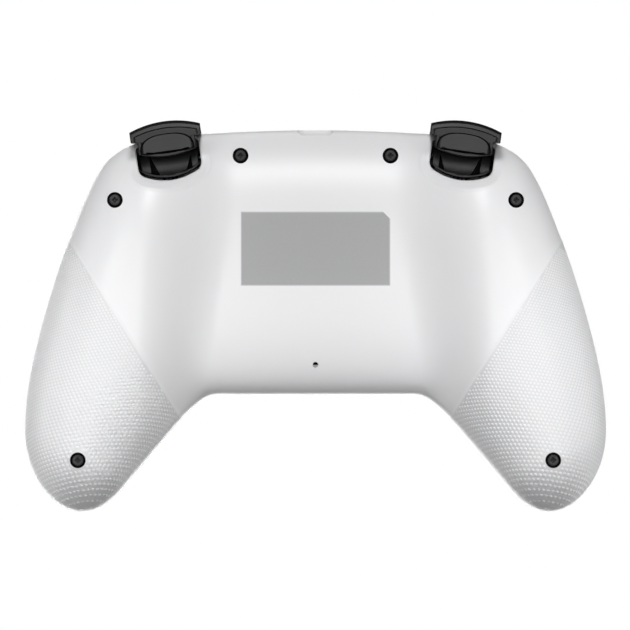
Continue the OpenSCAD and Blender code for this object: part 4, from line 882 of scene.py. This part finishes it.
# screws: a dished pan head with a tapered cross, on a flat black washer; the wells and the pinhole get a near-black
# lining of painted shade
def makeScrews():
    top = -screw["washerThick"] - screw["headHigh"]
    heads, washers, shadeLinings = [], [], []
    for x, y in screwPlaces:
        z = seatZ[x, y]
        head = rodCutter(x, y, z + top, z - screw["washerThick"], screw["head"], 40)
        bars = []
        for wide, deep in (screw["cross"], screw["cross"][::-1]):
            bar = boxCutter(x, y, wide, deep, z + top - 0.2, z + top + screw["crossDeep"])
            co = points(bar)
            low = co[:, 2] < co[:, 2].mean()
            centre = np.array([x * mm, y * mm])
            co[~low, :2] = centre + (co[~low, :2] - centre) * screw["crossFoot"]  # tapered
            placePoints(bar, co)
            bars.append(bar)
        combine(*bars, "UNION")
        cut(head, bars[:1])
        softened(head, 0.09)
        heads.append(head)
        washer = rodCutter(x, y, z - screw["washerThick"], z - 0.02, screw["washer"])
        softened(washer, 0.1)
        washers.append(washer)
        # painted shade: a thin near-black sleeve lines each well's white wall, from near the rim down to the washer
        bpy.ops.mesh.primitive_cylinder_add(vertices=48, radius=(screw["well"] - 0.01) * mm, depth=1.0,
                                            end_fill_type="NOTHING", location=(x * mm, y * mm, 0))
        cup = settle(named("well_shade_sleeve"))
        co = points(cup)
        turn = np.arctan2(co[:, 1] / mm - y, co[:, 0] / mm - x) % (2 * math.pi)
        rim = np.array(wellRim[x, y])[np.rint(turn / (2 * math.pi) * 48).astype(int) % 48]
        co[:, 2] = np.where(co[:, 2] > 0, z, rim + screw["lip"]) * mm
        placePoints(cup, co)
        editOnly(cup, "VERT", cup.data.vertices, points(cup)[:, 2] > (z - 0.01) * mm)
        bpy.ops.mesh.edge_face_add()  # a floor under the washer
        leave()
        applied(cup, "wall", "SOLIDIFY", thickness=screw["sleeve"] * mm, offset=0)
        shadeLinings.append(cup)
    finishPiece(smoothed(joined(heads, "rear_screw_heads")), "housing", "screw_black", screwMetal, "rear_screws")
    # black washer flanges, in the same near-black as the painted shade of the wells
    finishPiece(smoothed(joined(washers, "rear_screw_washers")), "housing", "screw_black", blackAndPaintedShade)
    # painted shade: a near-black lining inside the pinhole
    x, y = pinhole["place"]
    pinholeShade = rodCutter(x, y, pinholeZ + screw["lip"], pinholeZ + pinhole["deep"], pinhole["radius"] - 0.01, 32)
    editFaces(pinholeShade, [p.normal.z < -0.5 for p in pinholeShade.data.polygons])  # its mouth stays open
    bpy.ops.mesh.delete(type="FACE")
    leave()
    applied(pinholeShade, "wall", "SOLIDIFY", thickness=screw["sleeve"] * mm, offset=0)
    shadeLinings.append(pinholeShade)
    cup = joined(shadeLinings, "rear_screw_well_shade")
    cleaned(cup, 1e-8)
    smoothed(cup)
    finishPiece(cup, "housing", "housing_white", blackAndPaintedShade)


makeScrews()
print("screws made")


# triggers: a head with a lip, a bed, a thumb pad and a slit, and a drum face that fills the window
trigger = {"pinZ": 18.8, "half": 7.7, "lipHalf": 9.45, "lipReach": 12.2, "lipSag": 1.8, "stepY": 2.8, "stepSag": 1.4,
           "under": -14.6, "rise": 0.128, "neck": (7.4, 0.3), "edge": (0.78, 1.2), "band": (1.8, 0.12),
           "bed": 0.28, "groove": 0.25, "side": 1.1, "pad": (7.3, 4.2, 4.75, 0.75, 0.085), "padPower": 2.6,
           "slit": (3.88, 0.45, 5.6, 0.19, 1.5), "slitSpan": 5.5, "footRound": 0.35, "sideRound": 0.3, "riseFrom": 2.6,
           "finger": ((12.18, -12.9), (9.9, -8.3), (9.0, -5.0), (9.3, 2.5)), "fingerTop": 8.6, "padTop": 5.8,
           "levels": (-11.8, 4.6, 30), "lastLevel": 5.4, "flatten": (0.55, 12.0, 9.0), "shadedSteep": 0.75,
           "grid": (110, 250)}
drum = {"radius": 6.4, "gap": 0.65, "rim": (0.75, 0.42), "rimFlat": 0.9, "top": 4.7, "edge": 0.3,
        "panel": (4.35, 0.36, 0.11), "panelHigh": 0.10, "panelShift": -0.6, "holeOut": (5.1, -5.8), "holeDeep": 2.2,
        "holeSoft": 0.12, "levels": (-2.6, -2.0), "pocketShade": (1.55, -2.7), "grid": (120, 110)}


def sagAt(u, half, sag):
    r = (half * half + sag * sag) / (2 * sag)
    return r - np.sqrt(r * r - u * u)


def step(x, soft):  # 0 to 1 over a short distance about x = 0
    return ease(x / soft + 0.5)


def roundOff(x, radius):  # drop of a quarter round at a distance from the edge
    return radius * (1 - np.sqrt(1 - np.clip(1 - x / radius, 0, 1) ** 2))


def headPlan(t, q, reach, sagShare):  # plan of the head at one height: narrow neck, wide lip
    g = trigger
    half = np.where(q > 0.5, g["lipHalf"], g["half"])
    for k in range(3):
        u = half * t
        low = g["stepY"] + sagAt(u, g["half"], g["stepSag"])
        high = reach - sagAt(u, g["lipHalf"], g["lipSag"]) * sagShare
        v = low + q * (high - low)
        start, run = g["neck"]
        half = g["half"] + (g["lipHalf"] - g["half"]) * np.clip((v - start) / run, 0, 1)
    return u, v, low, high, half


def headUnder(t, q):
    g = trigger
    u, v, low, high, half = headPlan(t, q, g["lipReach"], 1.0)
    e, side, foot = high - v, half - np.abs(u), v - low
    edgeWide, edgeDeep = g["edge"]
    bandEnd, bandDeep = g["band"]
    deep = edgeDeep * np.clip(1 - e / edgeWide, 0, 1)
    deep += bandDeep * np.clip((bandEnd - e) / (bandEnd - edgeWide), 0, 1)
    deep += g["bed"] * step(e - bandEnd - 0.1, 0.16) * step(side - g["side"], 0.5) * step(v - g["slit"][0], 0.4)
    deep += g["groove"] * np.exp(-((e - bandEnd - 0.05) / 0.1) ** 2) * step(side - g["side"], 0.6)
    wide, y0, tall, padDeep, padLean = g["pad"]
    power = g["padPower"]
    f = (np.abs(u) / wide) ** power + (np.clip(v - y0, 0, None) / tall) ** power
    deep += (padDeep - padLean * (v - y0)) * step(1 - f ** (1 / power) - 0.03, 0.06) * step(v - y0, 0.3)
    slitY, slitBend, slitHalf, slitWide, slitDeep = g["slit"]
    across = np.abs(v - slitY - slitBend * (u / g["slitSpan"]) ** 2)
    deep += slitDeep * step(slitWide - across, 0.1) * step(slitHalf - np.abs(u), 0.3)
    deep += roundOff(foot, g["footRound"]) + roundOff(side, g["sideRound"])
    return u, v, g["under"] + g["rise"] * (v - g["riseFrom"]) + deep


def padFront(w):  # how far the finger's face stands out at a height
    k = np.linspace(0, 1, 60)
    v, z = ((1 - k) ** 3 * a + 3 * (1 - k) ** 2 * k * b + 3 * (1 - k) * k * k * c + k ** 3 * d
            for a, b, c, d in zip(*trigger["finger"]))
    return float(np.interp(w, np.append(z, trigger["padTop"]), np.append(v, trigger["fingerTop"])))


def headLevel(t, q, w):
    share, start, run = trigger["flatten"]
    u, v, low, high, half = headPlan(t, q, padFront(w), 1 - share * float(ease((w + start) / run)))
    return u, v, np.full_like(u, w)


def drumUnder(t, q):
    g = drum
    u = (window["width"] / 2 - g["gap"]) * t
    ring = np.array(windowRing(-g["gap"]))
    low = np.interp(u, ring[:, 0], ring[:, 1])
    v = low + q * (g["top"] - low)
    foot = np.minimum(v - low, window["width"] / 2 - g["gap"] - np.abs(u))
    rimWide, rimHigh = g["rim"]
    bulge = np.where(v - low < rimWide, g["rimFlat"] * low, v)  # the rim along its foot is flat
    deep = g["radius"] - np.sqrt(g["radius"] ** 2 - bulge ** 2)
    deep += rimHigh * step(v - low - rimWide, 0.16)
    panelHalf, lean, bend = g["panel"]
    panel = panelHalf + lean * np.clip(v, -3, 3) - bend * np.clip(-v, 0, 3) ** 2
    centred = u - g["panelShift"]
    out, back = g["holeOut"]
    soft = g["holeSoft"]
    hole = step(np.abs(centred) - panel, 1.5 * soft) * step(out - u, soft) * step(u - back, soft)
    deep += g["holeDeep"] * hole * step(v - low - rimWide - soft, soft)
    deep -= g["panelHigh"] * np.clip(1 - (centred / np.maximum(panel, 1)) ** 2, 0, 1)
    deep += roundOff(foot, g["edge"])
    return u, v, -g["radius"] + deep


def drumLevel(t, q, w):
    u, v, deep = drumUnder(t, q)
    return u, v, np.full_like(u, w)


def loftUp(name, sign, grid, under, level, heights):  # an underside sheet whose edge is drawn up level by level
    def toWorld(u, v, w):
        x, y = fromWindowFrame(u, v, sign)
        return np.stack([x, y, trigger["pinZ"] + w], -1) * mm
    bpy.ops.mesh.primitive_grid_add(x_subdivisions=grid[0], y_subdivisions=grid[1], size=2)
    piece = named(name)
    t, q = points(piece)[:, 0].copy(), (points(piece)[:, 1] + 1) / 2
    placePoints(piece, toWorld(*under(t, q)))
    last = np.nonzero((np.abs(t) > 0.9999) | (np.abs(q - 0.5) > 0.4999))[0]
    for w in heights:
        old = len(piece.data.vertices)
        co = points(piece)
        known = {tuple(co[i, :2]): i for i in last}
        editOpenEdges()
        bpy.ops.mesh.extrude_edges_move(TRANSFORM_OT_translate={"value": (0, 0, 0.001)})
        leave()
        co = points(piece)
        last = np.arange(old, len(co))
        source = [known[tuple(p[:2])] for p in co[old:]]
        t, q = np.append(t, t[source]), np.append(q, q[source])
        co[old:] = toWorld(*level(t[old:], q[old:], w))
        placePoints(piece, co)
    editOpenEdges()
    bpy.ops.mesh.edge_face_add()
    faceOut()
    smoothed(piece, 50)
    return piece


def paintShade(piece, chosen):  # painted shade: these faces get the near-black of the wells
    piece.data.materials.append(blackAndPaintedShade)
    piece.data.polygons.foreach_set("material_index", chosen.astype(np.int32))


def makeTriggers():
    headHeights = [*np.linspace(*trigger["levels"]).tolist(), trigger["lastLevel"], trigger["padTop"]]
    for sign, side in ((1, "right"), (-1, "left")):
        head = loftUp(side + "_trigger_head", sign, trigger["grid"], headUnder, headLevel, headHeights)
        finishPiece(head, side + "_trigger", "trigger_black", black, side + "_trigger")
        # painted shade: steep faces of the underside, the lip's edge and the walls, are painted near-black
        shadedSteep = np.array([abs(p.normal.z) < trigger["shadedSteep"] for p in head.data.polygons])
        shadedSteep[trigger["grid"][0] * trigger["grid"][1]:] = False  # only on the underside
        paintShade(head, shadedSteep)
        front = loftUp(side + "_trigger_drum", sign, drum["grid"], drumUnder, drumLevel, drum["levels"])
        finishPiece(front, side + "_trigger", "trigger_black", black)
        # painted shade: the faces of the drum's pockets are painted near-black
        height = faceCentres(front)[:, 2] - trigger["pinZ"]
        past, top = drum["pocketShade"]
        paintShade(front, (height > -drum["radius"] + past) & (height < top))


makeTriggers()
print("triggers made")


# nodes with the right shape: merged, edges softened, shaded smooth
def dressed(node, width):
    source = nodes[node]
    piece = bpy.data.objects.new(node + "_soft", source.data.copy())
    bpy.context.scene.collection.objects.link(piece)
    cleaned(piece, 2e-7, outward=False)
    pick(piece)
    if width:
        edit()
        bpy.ops.mesh.dissolve_limited(angle_limit=math.radians(0.6))
        leave()
        softened(piece, width, 32, miter_outer="MITER_ARC")
    smoothed(piece, 38)
    finishPiece(piece, source["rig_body"], slotOf[node], slotFinish[slotOf[node]], node)


softEdges = {"right_bumper": 0.4, "left_bumper": 0.4, "dpad": 0.5,
             "left_stick_cap": 0, "right_stick_cap": 0, "left_stick_ring": 0.25, "right_stick_ring": 0.25,
             "upper_face_button": 0, "lower_face_button": 0, "left_face_button": 0, "right_face_button": 0,
             "home_button": 0, "left_menu_button": 0, "right_menu_button": 0, "left_option_button": 0,
             "right_option_button": 0, "usb_c_socket": 0.08}
for node, width in softEdges.items():
    dressed(node, width)
print("nodes dressed:", len(softEdges))


# floor: seen from above only, so the back shows from below; just clear of the back, and white from a distance
stage = {"size": 4, "z": -0.5, "paper": ((0.86, 0.86, 0.86), (0.88, 0.88, 0.88)), "fade": (0.1, 0.32)}
pureWhite = (1, 1, 1, 1)


def makeFloor():
    bpy.ops.mesh.primitive_plane_add(size=stage["size"], location=(0, 0, stage["z"] * mm))
    floor = named("floor")
    material, s = newFinish("floor_pale")
    rays = s.node("ShaderNodeLightPath", out="Is Camera Ray")
    behind = s.node("ShaderNodeNewGeometry", out="Backfacing")
    cloud = s.noise(6, 2)
    paper = s.node("ShaderNodeBsdfDiffuse", {"Color": s.tint(*stage["paper"], cloud)})
    away = s.node("ShaderNodeVectorMath", {0: s.place()}, "Value", operation="LENGTH")
    far = s.ramp(away, *stage["fade"])
    glow = s.node("ShaderNodeEmission", {"Color": pureWhite, "Strength": 1.0})
    sheet = s.mix(far, paper, glow)
    clear = s.node("ShaderNodeBsdfTransparent")
    mixed = s.mix(rays * (1 - behind), clear, sheet)
    s.node("ShaderNodeOutputMaterial", {"Surface": mixed})
    floor.data.materials.append(material)


def makeWorld():
    world = bpy.data.worlds.new("studio")
    bpy.context.scene.world = world
    s = Shader(world)
    path = s.node("ShaderNodeLightPath", out="Is Camera Ray")
    links = path.socket.node.outputs
    seen = path.maths("MAXIMUM", path, Val(s, links["Is Transmission Ray"]))
    glossy = Val(s, links["Is Glossy Ray"])
    way = s.node("ShaderNodeSeparateXYZ", {0: s.node("ShaderNodeTexCoord", out="Generated")}, out=2)
    dim, bright = lamps["shine"]
    level = s.ramp(s.absolute(way), *lamps["shineRun"], **{"To Min": dim, "To Max": bright})
    room, shine, plain = (s.node("ShaderNodeBackground", {"Color": pureWhite, "Strength": strength})
                          for strength in (lamps["room"], level, 1.0))
    s.node("ShaderNodeOutputWorld", {"Surface": s.mix(seen, s.mix(glossy, room, shine), plain)})


# place, size and power of each soft box; the first four and the spots stand on the camera's side
lamps = {"room": 0.13, "shine": (0.05, 0.36), "shineRun": (0.3, 0.95),
         "boxes": {"back_key": ((0.0, 0.67, -0.74), 0.24, 4.6), "back_fill": ((0.0, 0.04, -1.3), 0.4, 3.5),
                   "flank_left": ((0.68, 0.07, 0.05), 0.25, 0.6), "flank_right": ((-0.68, 0.07, 0.05), 0.25, 0.6),
                   "top": ((0.1, -0.2, 1.2), 1.0, 9.0), "top_left": ((-0.9, -0.5, 0.7), 0.7, 3.0),
                   "top_right": ((0.9, -0.6, 0.6), 0.7, 2.4), "rim": ((0.2, 1.0, 0.6), 0.7, 2.0)},
         "spots": {"thigh": ((0.34, 0.10, -0.5), (0.052, 0.006, 0.004), 6.2),
                   "grip": ((0.20, -0.05, -0.6), (0.060, -0.031, 0.004), 7.2)},
         "spotAngle": 9.5, "spotSize": 0.05}


def addLamp(kind, name, place, aim, power):
    bpy.ops.object.light_add(type=kind, location=place)
    lamp = bpy.context.object
    lamp.name = name
    lamp.data.energy = power
    lamp.rotation_mode = "QUATERNION"
    lamp.rotation_quaternion = (Vector(aim) - Vector(place)).to_track_quat("-Z", "Y")
    lamp.visible_camera = False
    return lamp


def makeLamps():
    for name, (place, size, power) in lamps["boxes"].items():
        lamp = addLamp("AREA", name, place, (0, 0, 0.02), power)
        lamp.data.shape = "DISK"
        lamp.data.size = size
    for name, (place, aim, power) in lamps["spots"].items():
        for sign, side in ((1, "_left"), (-1, "_right")):
            start, end = ((sign * x, y, z) for x, y, z in (place, aim))
            lamp = addLamp("SPOT", name + side, start, end, power)
            lamp.data.spot_size = math.radians(lamps["spotAngle"])
            lamp.data.spot_blend = 1.0
            lamp.data.shadow_soft_size = lamps["spotSize"]


# a long lens straight behind, so that places match the photo
view = {"lens": 1500.0, "sensor": 36, "pixels": 630, "pixelsPerMm": 3.766, "middle": (0.133, 0.2), "focusZ": 15.0}


def makeCamera():
    away = view["pixels"] / view["pixelsPerMm"] * view["lens"] / view["sensor"]
    x, y = view["middle"]
    bpy.ops.object.camera_add(location=(x * mm, y * mm, (view["focusZ"] - away) * mm), rotation=(0, math.pi, 0))
    camera = bpy.context.object
    camera.name = "back_camera"
    camera.data.lens = view["lens"]
    camera.data.sensor_width = view["sensor"]
    bpy.context.scene.camera = camera


makeFloor()
makeWorld()
makeLamps()
makeCamera()
bpy.context.scene.view_settings.view_transform = "Standard"
print("stage set")
